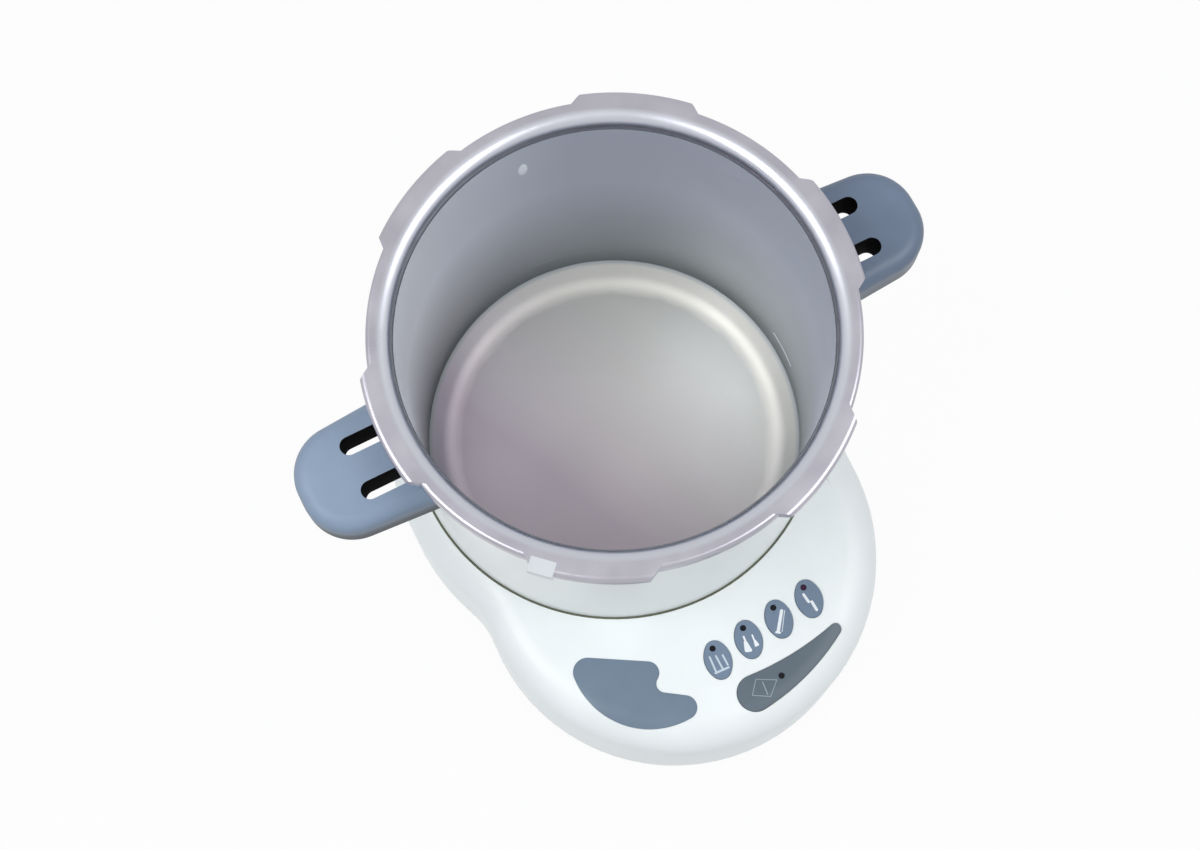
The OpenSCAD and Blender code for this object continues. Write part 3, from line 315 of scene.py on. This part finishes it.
# %% [markdown]
# ## Coated sheet and moulded plastics
# The jacket is steel under a smooth baked coat, whose gloss is broken by a slight orange peel. The
# base is ABS from a polished mould: nearly white, with a soft sheen. Handles and keys are textured
# to grip, so their grain is finer and deeper, and their highlights spread wider. One recipe serves
# them all: the cloud, and a fine noise for the grain. The handles' flanks get a painted shade: a
# darker flank colour takes over as the height falls.

# %% Recipe for moulded and coated finishes
FLANK_BELOW, TOP_ABOVE = 219 * MM, 237 * MM
PLASTIC_PATCH = 45


def moulded(name, low_hex, high_hex, rough, grain_mm, depth, coat=0.0, shine=0.5, flank_shade_hex=None):
    finish, tree, place = new_finish(name)
    grain = add(tree, "ShaderNodeTexNoise", {
        "Vector": place, "Scale": 1 / (grain_mm * MM), "Detail": 2}).outputs[0]
    colour, sheen = clouded(tree, place, PLASTIC_PATCH, 2, low_hex, high_hex, rough)
    # A darker flank colour below the top is painted shade.
    if flank_shade_hex:
        height = add(tree, "ShaderNodeSeparateXYZ", {"Vector": place}).outputs["Z"]
        upper = add(tree, "ShaderNodeMapRange", {
            "Value": height, "From Min": FLANK_BELOW, "From Max": TOP_ABOVE},
            interpolation_type="SMOOTHSTEP").outputs[0]
        colour = add(tree, "ShaderNodeMix", {
            FACTOR: upper, FIRST: linear(flank_shade_hex), SECOND: colour},
            data_type="RGBA").outputs[MIXED]
    bump = add(tree, "ShaderNodeBump", {
        "Height": grain, "Strength": depth, "Distance": BUMP_DEPTH}).outputs[0]
    close_finish(tree, add(tree, "ShaderNodeBsdfPrincipled", {
        "Base Color": colour, "Roughness": sheen, "IOR": 1.5, "Specular IOR Level": shine,
        "Normal": bump, "Coat Weight": coat, "Coat Roughness": 0.12}))
    return finish


print("moulded recipe ready")

# %% [markdown]
# The outer finishes come first. Each takes a low and a high tone, a roughness, the grain's size in
# millimetres and its strength. The two handles are of one plastic, but the right one has darker
# tones of its own, a painted shade. Keys and inlay are smooth polycarbonate, the catch is waxy
# acetal, the seal and the feet are rubber, so dull, and the switch is the one glossy black piece.

# %% Finishes seen from outside
jacket_enamel = moulded("baked enamel on steel", "#eff4f4", "#f3f8f8", 0.38, 2.0, 0.08, coat=0.2)
cover_abs = moulded("moulded ABS", "#ebf0f1", "#eff4f5", 0.36, 0.8, 0.06)
# The flank colours of both handles are painted shade.
handle_nylon = moulded(
    "glass filled nylon", "#8799b0", "#91a3ba", 0.44, 0.7, 0.2, shine=0.3, flank_shade_hex="#2c3642")
# The right handle's darker tones are painted shade on the same nylon.
shaded_nylon = moulded(
    "darker glass filled nylon", "#606f85", "#6b7a91", 0.4, 0.7, 0.2, shine=0.45,
    flank_shade_hex="#3f4b5b")
# The near-black finish for the handle slots is painted shade.
slot_shade = moulded("near black painted slot shade", "#030304", "#060607", 0.85, 0.6, 0.2, shine=0.05)
key_skin = moulded("moulded polycarbonate key", "#687b91", "#708298", 0.42, 0.5, 0.1)
start_skin = moulded("dark polycarbonate key", "#515f6a", "#596772", 0.42, 0.5, 0.1)
inlay_film = moulded("polycarbonate inlay film", "#66788b", "#6e8093", 0.34, 1.0, 0.04, coat=0.15)
catch_pom = moulded("moulded acetal", "#c9ced2", "#d3d8db", 0.4, 0.8, 0.06)
# The cap's pale tone is partly a painted highlight.
pale_cap_and_highlight = moulded("moulded PTFE cap", "#e3eaef", "#ebf1f5", 0.35, 1.0, 0.05)
seal_rubber = moulded("olive silicone rubber", "#5f634f", "#6c705b", 0.6, 0.9, 0.2)
foot_rubber = moulded("soft black rubber", "#2b2d2f", "#37393c", 0.75, 0.9, 0.35)
black_pbt = moulded("moulded PBT", "#1c1e20", "#26282b", 0.42, 0.6, 0.2)
rocker_gloss = moulded("polished thermoplastic rocker", "#131416", "#1a1b1d", 0.2, 1.0, 0.03)
print("outer finishes ready")

# %% [markdown]
# The pieces below and inside get plain working finishes from the same recipe: powder coat is matt
# and a little rough, board lacquer and glazed ceramic shine, and mineral felt is dull and fibrous.
# The inks and enamels are thin and nearly flat in tone, so their grain is weak.

# %% Inner finishes and inks
pan_coat = moulded("powder coated sheet", "#c2c6c9", "#cccfd2", 0.55, 0.6, 0.3)
board_lacquer = moulded("lacquered circuit board", "#24583d", "#2f6b4c", 0.3, 1.5, 0.1, coat=0.4)
part_epoxy = moulded("epoxy component case", "#25282b", "#34383c", 0.5, 0.9, 0.2)
terminal_ceramic = moulded("glazed steatite", "#dcd6c8", "#e9e5da", 0.3, 1.2, 0.05, coat=0.3)
sleeve_felt = moulded("mineral fibre felt", "#b9b29a", "#d0cab6", 0.95, 1.4, 0.9)
picture_ink = moulded("white screen print", "#e3e8ee", "#eef2f6", 0.5, 0.7, 0.05)
thin_ink = moulded("thin white screen print", "#bcc9d6", "#c8d4df", 0.5, 0.7, 0.05)
pale_ink = moulded("pale screen print", "#8b979f", "#98a3ab", 0.5, 0.7, 0.05)
# The grey enamel of the second level mark is painted shade.
shaded_enamel = moulded("filling enamel in painted shade", "#9aa0a2", "#a8aeb0", 0.5, 0.7, 0.05)
mark_enamel = moulded("light filling enamel", "#e2e6ea", "#edf0f3", 0.4, 0.7, 0.05)
print("inner finishes ready")

# %% [markdown]
# The lamp dots are clear rods over small lamps. Unlit they look nearly black, and one has a dark
# red lamp under it. All five rods are one solid, so the colour changes by the place along X.

# %% Smoked lamp rods
RED_ROD_FROM = 50 * MM

lamp_rods, tree, place = new_finish("smoked acrylic rod")
along_x = add(tree, "ShaderNodeSeparateXYZ", {"Vector": place}).outputs["X"]
red_one = add(tree, "ShaderNodeMath", {0: along_x, 1: RED_ROD_FROM},
              operation="GREATER_THAN").outputs[0]
rod_colour = add(tree, "ShaderNodeMix", {
    FACTOR: red_one, FIRST: linear("#0b0c14"), SECOND: linear("#3a1230")},
    data_type="RGBA").outputs[MIXED]
close_finish(tree, add(tree, "ShaderNodeBsdfPrincipled", {
    "Base Color": rod_colour, "Roughness": 0.3, "IOR": 1.49, "Specular IOR Level": 0.2}))
print("lamp rods ready")

# %% [markdown]
# ## Dressing the solids
# A solid whose form is right keeps its mesh and only takes a finish in its slots. One table names
# the finish of each piece, so nothing is forgotten and like pieces match.

# %% Assign finishes
finish_of = {
    "chamber_vessel": chamber_steel, "bayonet_rim": rim_aluminium, "lock_catch": catch_pom,
    "insulation_sleeve": sleeve_felt, "jacket_shell": jacket_enamel, "base_cover": cover_abs,
    "base_pan": pan_coat, "feet": foot_rubber, "pan_screws": zinc_steel,
    "support_legs": zinc_steel, "leg_fasteners": zinc_steel, "heater_plate": plate_aluminium,
    "heating_element": heated_steel, "element_terminals": terminal_ceramic,
    "heat_shield": pressed_aluminium, "shield_fasteners": zinc_steel,
    "temperature_probe": nickel_pins, "probe_clip": plate_aluminium,
    "cutout_thermostat": part_epoxy, "handle_left": handle_nylon, "handle_right": shaded_nylon,
    "handle_bracket_left": zinc_steel, "handle_bracket_right": zinc_steel,
    "handle_screws_left": zinc_steel, "handle_screws_right": zinc_steel,
    "control_board": board_lacquer, "key_switches": part_epoxy, "light_pipes": lamp_rods,
    "board_screws": zinc_steel, "key_program_1": key_skin, "key_program_2": key_skin,
    "key_program_3": key_skin, "key_program_4": key_skin, "key_start": start_skin,
    "badge_inlay": inlay_film, "power_board": board_lacquer, "board_parts": part_epoxy,
    "power_posts": turned_brass, "mains_inlet": black_pbt, "inlet_pins": nickel_pins,
    "fuse_drawer": black_pbt, "switch_bezel": black_pbt, "rocker": rocker_gloss,
    "panel_screws": zinc_steel}
for node_name, solid in solids.items():
    for slot in solid.material_slots:
        slot.material = finish_of[node_name]
print("finished solids", len(finish_of))

# %% [markdown]
# ## Smooth skins
# The cover's solid is a loft of flat strips, so its rounded edge would show facets. A copy whose
# doubles are merged can share normals across the strips. Only corners sharper than a strip's own
# bend stay hard, and large faces lead the normals so that the flat top stays flat. Where a round
# hole meets the rounded edge, the triangles of the flat top can fold back over themselves, so such
# corners are taken out first and the opening is filled again.

# %% Smooth copies of the lofted solids
DOUBLES_WITHIN = 0.002 * MM
FOLDED_BACK = math.radians(178)
LEVEL_NORMAL = 0.999


def smooth_copy(node_name, piece_name, corner_degrees):
    mesh = solids[node_name].data.copy()
    mesh.name = piece_name
    piece = bpy.data.objects.new(piece_name, mesh)
    scene.collection.objects.link(piece)
    skin = bmesh.new()
    skin.from_mesh(mesh)
    bmesh.ops.remove_doubles(skin, verts=skin.verts, dist=DOUBLES_WITHIN)
    folded = [v for v in skin.verts
              if any(e.calc_face_angle(0) > FOLDED_BACK for e in v.link_edges)
              and all(abs(f.normal.z) > LEVEL_NORMAL for f in v.link_faces)]
    corners = len(folded)
    if folded:
        bmesh.ops.delete(skin, geom=folded, context="VERTS")
        bmesh.ops.holes_fill(skin, edges=[e for e in skin.edges if len(e.link_faces) == 1])
        bmesh.ops.recalc_face_normals(skin, faces=skin.faces)
    for face in skin.faces:
        face.smooth = True
    corner = math.radians(corner_degrees)
    for edge in skin.edges:
        edge.smooth = len(edge.link_faces) == 2 and edge.calc_face_angle(0) < corner
    open_edges = sum(len(e.link_faces) != 2 for e in skin.edges)
    skin.to_mesh(mesh)
    skin.free()
    weighting = piece.modifiers.new("large faces lead", "WEIGHTED_NORMAL")
    weighting.keep_sharp = True
    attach(piece, solids[node_name]["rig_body"])
    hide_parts(node_name)
    print(piece_name, "faces", len(mesh.polygons), "folded corners", corners,
          "open edges", open_edges)
    return piece


smooth_copy("base_cover", "cover_skin", 28)
smooth_copy("chamber_vessel", "chamber_skin", 20)
smooth_copy("key_start", "start_key_skin", 40)

# %% [markdown]
# The handles are lofts too. The upright faces inside the two finger slots get a second finish, a
# near-black painted shade. The slots are found in the handle's own axes: both handles are turned by
# two degrees against the base, and the left one by half a turn more.

# %% Handles with painted shade in the slots
SLOT_INNER_END, SLOT_OUTER_END = 132 * MM, 161 * MM
SLOT_NEAR_SIDE, SLOT_FAR_SIDE = 8 * MM, 19.5 * MM
UPRIGHT_NORMAL = 0.3

for side, back_turn in (("right", -2), ("left", 178)):
    handle_skin = smooth_copy(f"handle_{side}", f"handle_{side}_skin", 28)
    handle_skin.data.materials.append(slot_shade)
    turn = Matrix.Rotation(math.radians(back_turn), 3, "Z")
    shaded_in_slots = 0
    for face in handle_skin.data.polygons:
        middle = turn @ face.center
        in_slot = (SLOT_INNER_END < middle.x < SLOT_OUTER_END
                   and SLOT_NEAR_SIDE < abs(middle.y) < SLOT_FAR_SIDE)
        # Upright faces inside the slots take the painted shade.
        if in_slot and abs(face.normal.z) < UPRIGHT_NORMAL:
            face.material_index = 1
            shaded_in_slots += 1
    print(handle_skin.name, "lined faces", shaded_in_slots)

# %% [markdown]
# ## Pictures on the keys
# Each program key carries a small white picture of its load: tubes in a rack, two flasks, one long
# instrument, or two short ones. They are printed, so each is a film a few hundredths of a
# millimetre thick, made of strokes: a thin box with a round at either end. Where strokes cross,
# each is a hair thicker than the last, so no two faces share a plane. Films are drawn in
# millimetres and turned into metres at the end.

# %% Strokes
KEY_TOP = 93.2
FILM, LIFT = 0.04, 0.01
STROKE_STEP, END_STEP = 0.006, 0.002


def stroke(film, number, a, b, width, cuts=0):
    a, b = Vector((*a, 0)), Vector((*b, 0))
    run = b - a
    deep = FILM + STROKE_STEP * number
    turn = Matrix.Rotation(math.atan2(run.y, run.x), 4, "Z")
    shape = Matrix.Diagonal((run.length, width, deep, 1))
    box = bmesh.ops.create_cube(film, size=1, matrix=Matrix.Translation((a + b) / 2) @ turn @ shape)
    if cuts:
        edges = dict.fromkeys(e for v in box["verts"] for e in v.link_edges)
        bmesh.ops.subdivide_edges(film, edges=list(edges), cuts=cuts, use_grid_fill=True)
    for k, end in enumerate((a, b)):
        bmesh.ops.create_cone(film, cap_ends=True, segments=20, radius1=width / 2,
                              radius2=width / 2, depth=deep + END_STEP * (k + 1),
                              matrix=Matrix.Translation(end))


def to_piece(film, name, finish, body):
    mesh = bpy.data.meshes.new(name)
    film.to_mesh(mesh)
    film.free()
    mesh.transform(Matrix.Scale(MM, 4))
    mesh.materials.append(finish)
    piece = bpy.data.objects.new(name, mesh)
    scene.collection.objects.link(piece)
    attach(piece, body)
    return piece


print("stroke film", FILM, "mm")

# %% [markdown]
# The four keys stand on a line that rises to the right, and each is turned a little against it. A
# picture is drawn round its own middle and then carried to its key.

# %% Key pictures
FIRST_KEY, KEY_PITCH, ROW_TURN = (-7.5, -165.2), 22.5, math.radians(8.9)
KEY_MIDDLES = [(FIRST_KEY[0] + i * KEY_PITCH * math.cos(ROW_TURN),
                FIRST_KEY[1] + i * KEY_PITCH * math.sin(ROW_TURN)) for i in range(4)]
KEY_TURN = math.radians(-8)


def key_picture(index, strokes, ink):
    film = bmesh.new()
    for number, (a, b, width) in enumerate(strokes):
        stroke(film, number, a, b, width)
    middle = Matrix.Translation((*KEY_MIDDLES[index], KEY_TOP + LIFT))
    place = middle @ Matrix.Rotation(KEY_TURN, 4, "Z")
    bmesh.ops.transform(film, matrix=place, verts=film.verts)
    node_name = f"key_program_{index + 1}"
    to_piece(film, f"key_picture_{index + 1}", ink, node_name)


tubes = [((-4.4, 3.0), (-3.4, -6.2), 1.1), ((-0.6, 2.6), (1.0, -5.8), 1.1),
         ((3.5, 1.9), (4.7, -4.6), 1.1), ((-3.9, -7.2), (4.7, -6.2), 1.3)]
flasks = [((-2.4, 2.4), (-2.2, -0.9), 1.2), ((-2.4, -1.4), (-3.2, -5.4), 2.2),
          ((-2.4, -1.4), (-1.3, -5.7), 2.2), ((-3.3, -6.1), (-1.0, -6.5), 2.2),
          ((2.9, 1.8), (3.1, -1.5), 1.0), ((3.3, -2.0), (3.1, -4.5), 1.5),
          ((3.3, -2.0), (4.3, -4.4), 1.5), ((2.9, -5.0), (4.5, -4.8), 1.2)]
instrument = [((3.1, 4.2), (-2.8, -7.1), 2.0), ((-4.2, -7.3), (-2.1, -8.3), 1.2),
              ((5.0, 4.0), (-0.6, -8.0), 0.4)]
two_short = [((-2.4, 3.3), (-0.9, -1.8), 1.7), ((1.0, -2.4), (2.2, -7.9), 1.8),
             ((-0.9, -1.8), (1.0, -2.4), 0.6)]
pictures = ((tubes, thin_ink), (flasks, picture_ink), (instrument, picture_ink),
            (two_short, picture_ink))
for index, (picture, ink) in enumerate(pictures):
    key_picture(index, picture, ink)
print("key pictures", len(pictures))

# %% [markdown]
# The start key bends over the cover's rounded edge, so its picture has to bend too. The strokes
# are cut into short stretches first, and then each corner is set down on the key's own surface. It
# is flat out to a distance from the middle of the panel, and from there it falls along an arc.

# %% Picture on the start key
PANEL_MIDDLE = Vector((0, -91.0))
FLAT_TO, BEND_R, BEND_MIDDLE = 103.8, 22.8, 70.4


def on_start_key(point):
    out = (Vector((point.x, point.y)) - PANEL_MIDDLE).length
    if out <= FLAT_TO:
        return KEY_TOP
    return BEND_MIDDLE + math.sqrt(BEND_R ** 2 - (out - FLAT_TO) ** 2)


film = bmesh.new()
frame_sign = [(8.0, -185.4), (19.4, -191.0), (11.6, -198.4), (1.9, -193.2)]
for number, (a, b) in enumerate(zip(frame_sign, frame_sign[1:] + frame_sign[:1])):
    stroke(film, number, a, b, 0.5, cuts=5)
stroke(film, 5, (11.0, -188.7), (10.5, -196.4), 0.7, cuts=5)
for vertex in film.verts:
    vertex.co.z += on_start_key(vertex.co) + LIFT
start_picture = to_piece(film, "start_picture", pale_ink, "key_start")
print("start picture", len(start_picture.data.polygons))

# %% [markdown]
# ## Level marks
# Two short lines on the chamber wall, a quarter turn apart, show how far to fill it. The right one
# lies in a groove of the solid and is filled with light enamel. The other is only a thin line, and
# its grey is a painted shade, as it lies on the shaded side of the wall. A small section, half sunk
# in the wall, is spun a few degrees round the pot's axis for each.

# %% Level marks
MARK_FACE, MARK_BACK = 119.75, 120.2


def level_line(name, turn, span, low, high, finish):
    film = bmesh.new()
    corners = [film.verts.new((out, 0, up)) for out, up in (
        (MARK_FACE, low), (MARK_BACK, low), (MARK_BACK, high), (MARK_FACE, high))]
    section = film.faces.new(corners)
    bmesh.ops.rotate(film, verts=film.verts, cent=(0, 0, 0),
                     matrix=Matrix.Rotation(math.radians(turn - span / 2), 3, "Z"))
    bmesh.ops.spin(film, geom=[section] + list(section.edges) + corners, cent=(0, 0, 0),
                   axis=(0, 0, 1), angle=math.radians(span), steps=12)
    bmesh.ops.recalc_face_normals(film, faces=film.faces)
    open_edges = sum(len(e.link_faces) != 2 for e in film.edges)
    to_piece(film, name, finish, "autoclave")
    print(name, "open edges", open_edges)


level_line("level_mark", 0, 12, 74.3, 75.7, mark_enamel)
# This mark's grey enamel is painted shade.
level_line("shaded_level_mark", 87, 11, 73.8, 74.2, shaded_enamel)

# %% [markdown]
# ## Seal in the gap
# Between the jacket and the cover lies a gap of little more than a millimetre, closed against
# spilled water by a silicone cord. One round section spun about the pot's axis gives the cord. It
# is a little thinner than the gap and lies just below the cover's top. After a full turn the last
# ring meets the first, so their doubles are merged and the faces are made to point outwards.

# %% Seal cord
JACKET_R, COLLAR_R, COVER_TOP = 126.8, 128.2, 92.4
CORD_DROP, CORD_PLAY = 1.1, 0.03


def full_turn(film, steps):
    bmesh.ops.spin(film, geom=film.verts[:] + film.edges[:], cent=(0, 0, 0), axis=(0, 0, 1),
                   angle=math.tau, steps=steps, use_merge=True)
    bmesh.ops.remove_doubles(film, verts=film.verts, dist=0.001)
    bmesh.ops.recalc_face_normals(film, faces=film.faces)


film = bmesh.new()
cord_middle = Matrix.Translation(((JACKET_R + COLLAR_R) / 2, 0, COVER_TOP - CORD_DROP))
bmesh.ops.create_circle(film, segments=10, radius=(COLLAR_R - JACKET_R) / 2 - CORD_PLAY,
                        matrix=cord_middle @ Matrix.Rotation(math.radians(90), 4, "X"))
full_turn(film, 180)
for face in film.faces:
    face.smooth = True
seal_cord = to_piece(film, "seal_cord", seal_rubber, "autoclave")
print("seal cord faces", len(seal_cord.data.polygons))

# %% [markdown]
# ## Sensor cap
# High on the back wall of the chamber sits a small pale cap, such as one over a sensor behind the
# wall. Its pale tone is partly a painted highlight, the bright streak on the wall there. A
# flattened sphere half sunk in the wall does for such a low dome.

# %% Sensor cap
CAP_TURN, CAP_OUT, CAP_UP = 91, 120.3, 230
CAP_HALF_SIZES = (1.1, 3.2, 7.5)

film = bmesh.new()
bmesh.ops.create_uvsphere(film, u_segments=32, v_segments=16, radius=1)
bmesh.ops.scale(film, vec=CAP_HALF_SIZES, verts=film.verts)
bmesh.ops.translate(film, vec=(CAP_OUT, 0, CAP_UP), verts=film.verts)
bmesh.ops.rotate(film, cent=(0, 0, 0), verts=film.verts,
                 matrix=Matrix.Rotation(math.radians(CAP_TURN), 3, "Z"))
for face in film.faces:
    face.smooth = True
to_piece(film, "sensor_button", pale_cap_and_highlight, "autoclave")
print("sensor cap at", CAP_TURN, "degrees")

# %% [markdown]
# ## Signs on the rocker
# The mains switch carries the two usual signs, a stroke on the upper half and a ring on the lower
# one. Both halves lean out from the middle, so a sign is laid flat first, stood up against its
# half and then turned with the rocker into its place in the flank.

# %% Rocker signs
ROCKER_PIVOT = Vector((117.74, -99.77, 41.0))
BAY_TURN, ROCKER_REST = math.radians(-15), math.radians(7)
HALF_OUT, HALF_UP, HALF_LEAN = 6.6, 3.9, math.atan2(1.6, 7.8)
STROKE_HALF, STROKE_WIDTH = 1.9, 0.7
RING_R, RING_THICK, RING_FLATTEN = 1.5, 0.3, 0.12


def on_half(up):
    rocker = (Matrix.Translation(ROCKER_PIVOT) @ Matrix.Rotation(BAY_TURN, 4, "Z")
              @ Matrix.Rotation(ROCKER_REST, 4, "Y"))
    half = (Matrix.Translation((HALF_OUT + LIFT, 0, up * HALF_UP))
            @ Matrix.Rotation(up * HALF_LEAN, 4, "Y"))
    return rocker @ half @ Matrix.Rotation(math.radians(90), 4, "Y")


film = bmesh.new()
stroke(film, 0, (-STROKE_HALF, 0), (STROKE_HALF, 0), STROKE_WIDTH)
bmesh.ops.transform(film, matrix=on_half(1), verts=film.verts)
to_piece(film, "rocker_stroke_sign", picture_ink, "rocker")

film = bmesh.new()
stand_up = Matrix.Rotation(math.radians(90), 4, "X") @ Matrix.Rotation(math.radians(45), 4, "Z")
bmesh.ops.create_circle(film, segments=4, radius=RING_THICK,
                        matrix=Matrix.Translation((RING_R, 0, 0)) @ stand_up)
bmesh.ops.scale(film, vec=(1, 1, RING_FLATTEN), verts=film.verts)
full_turn(film, 32)
bmesh.ops.transform(film, matrix=on_half(-1), verts=film.verts)
to_piece(film, "rocker_ring_sign", picture_ink, "rocker")
print("rocker signs", 2)

# %% [markdown]
# ## Stage and light
# The floor is a sheet of matt white paper. The camera, the metals and anything clear should see a
# plain white background, so for their rays most of the paper is a glow of strength 1. The rest
# stays paper and keeps the object's shadow. One function picks these rays, because the world needs
# them too.

# %% Floor
PAPER_GLOW, FLOOR_HALF = 0.94, 6


def background_rays(tree):
    rays = add(tree, "ShaderNodeLightPath").outputs
    seen = add(tree, "ShaderNodeMath", {0: rays["Is Camera Ray"], 1: rays["Is Glossy Ray"]},
               operation="MAXIMUM").outputs[0]
    return add(tree, "ShaderNodeMath", {0: seen, 1: rays["Is Transmission Ray"]},
               operation="MAXIMUM").outputs[0]


floor_white, tree = new_finish("matt white paper")[:2]
paper = add(tree, "ShaderNodeBsdfDiffuse", {"Color": linear("#dcdedf")}).outputs[0]
glow = add(tree, "ShaderNodeEmission", {"Color": linear("#ffffff"), "Strength": 1.0}).outputs[0]
share = add(tree, "ShaderNodeMath", {0: background_rays(tree), 1: PAPER_GLOW},
            operation="MULTIPLY").outputs[0]
close_finish(tree, add(tree, "ShaderNodeMixShader", {0: share, 1: paper, 2: glow}))
sheet = bmesh.new()
bmesh.ops.create_grid(sheet, x_segments=1, y_segments=1, size=FLOOR_HALF)
mesh = bpy.data.meshes.new("floor")
sheet.to_mesh(mesh)
sheet.free()
mesh.materials.append(floor_white)
floor = bpy.data.objects.new("floor", mesh)
scene.collection.objects.link(floor)
print("floor", round(floor.dimensions.x, 1), "m")

# %% [markdown]
# The world is an even pale surround for the light that falls on the object, and plain white for
# what is seen behind it. The surround is brightest overhead, because the chamber takes all its
# light through its open top.

# %% World
ROOM_LIGHT = 0.65
HORIZON_FROM = -0.1

world = bpy.data.worlds.new("pale room")
scene.world = world
world.use_nodes = True
tree = world.node_tree
tree.nodes.clear()
skyward = add(tree, "ShaderNodeTexCoord").outputs["Generated"]
up = add(tree, "ShaderNodeSeparateXYZ", {"Vector": skyward}).outputs["Z"]
up = add(tree, "ShaderNodeMapRange", {
    "Value": up, "From Min": HORIZON_FROM, "From Max": 1.0}).outputs[0]
room = add(tree, "ShaderNodeMix", {
    FACTOR: up, FIRST: linear("#a0a5aa"), SECOND: linear("#f8fafc")},
    data_type="RGBA").outputs[MIXED]
lit = add(tree, "ShaderNodeBackground", {"Color": room, "Strength": ROOM_LIGHT}).outputs[0]
white = add(tree, "ShaderNodeBackground", {
    "Color": linear("#ffffff"), "Strength": 1.0}).outputs[0]
surround = add(tree, "ShaderNodeMixShader", {
    0: background_rays(tree), 1: lit, 2: white}).outputs[0]
add(tree, "ShaderNodeOutputWorld", {"Surface": surround})
print("world ready")

# %% [markdown]
# Two large lamps stand high on either side and face the chamber. Their size keeps the highlights
# on the rim broad and the shadows soft, and the left one is the stronger.

# %% Lamps
LAMP_AIM = Vector((0, 0, 0.15))


def soft_lamp(name, place, size, watts):
    lamp = bpy.data.objects.new(name, bpy.data.lights.new(name, "AREA"))
    lamp.data.energy = watts
    lamp.data.size = size
    lamp.location = place
    lamp.rotation_euler = (LAMP_AIM - Vector(place)).to_track_quat("-Z", "Y").to_euler()
    scene.collection.objects.link(lamp)


soft_lamp("lamp left", (-1.05, 0.05, 1.5), 1.1, 12.5)
soft_lamp("lamp right", (0.8, -0.65, 1.45), 1.05, 9.4)
print("lamps", 2)
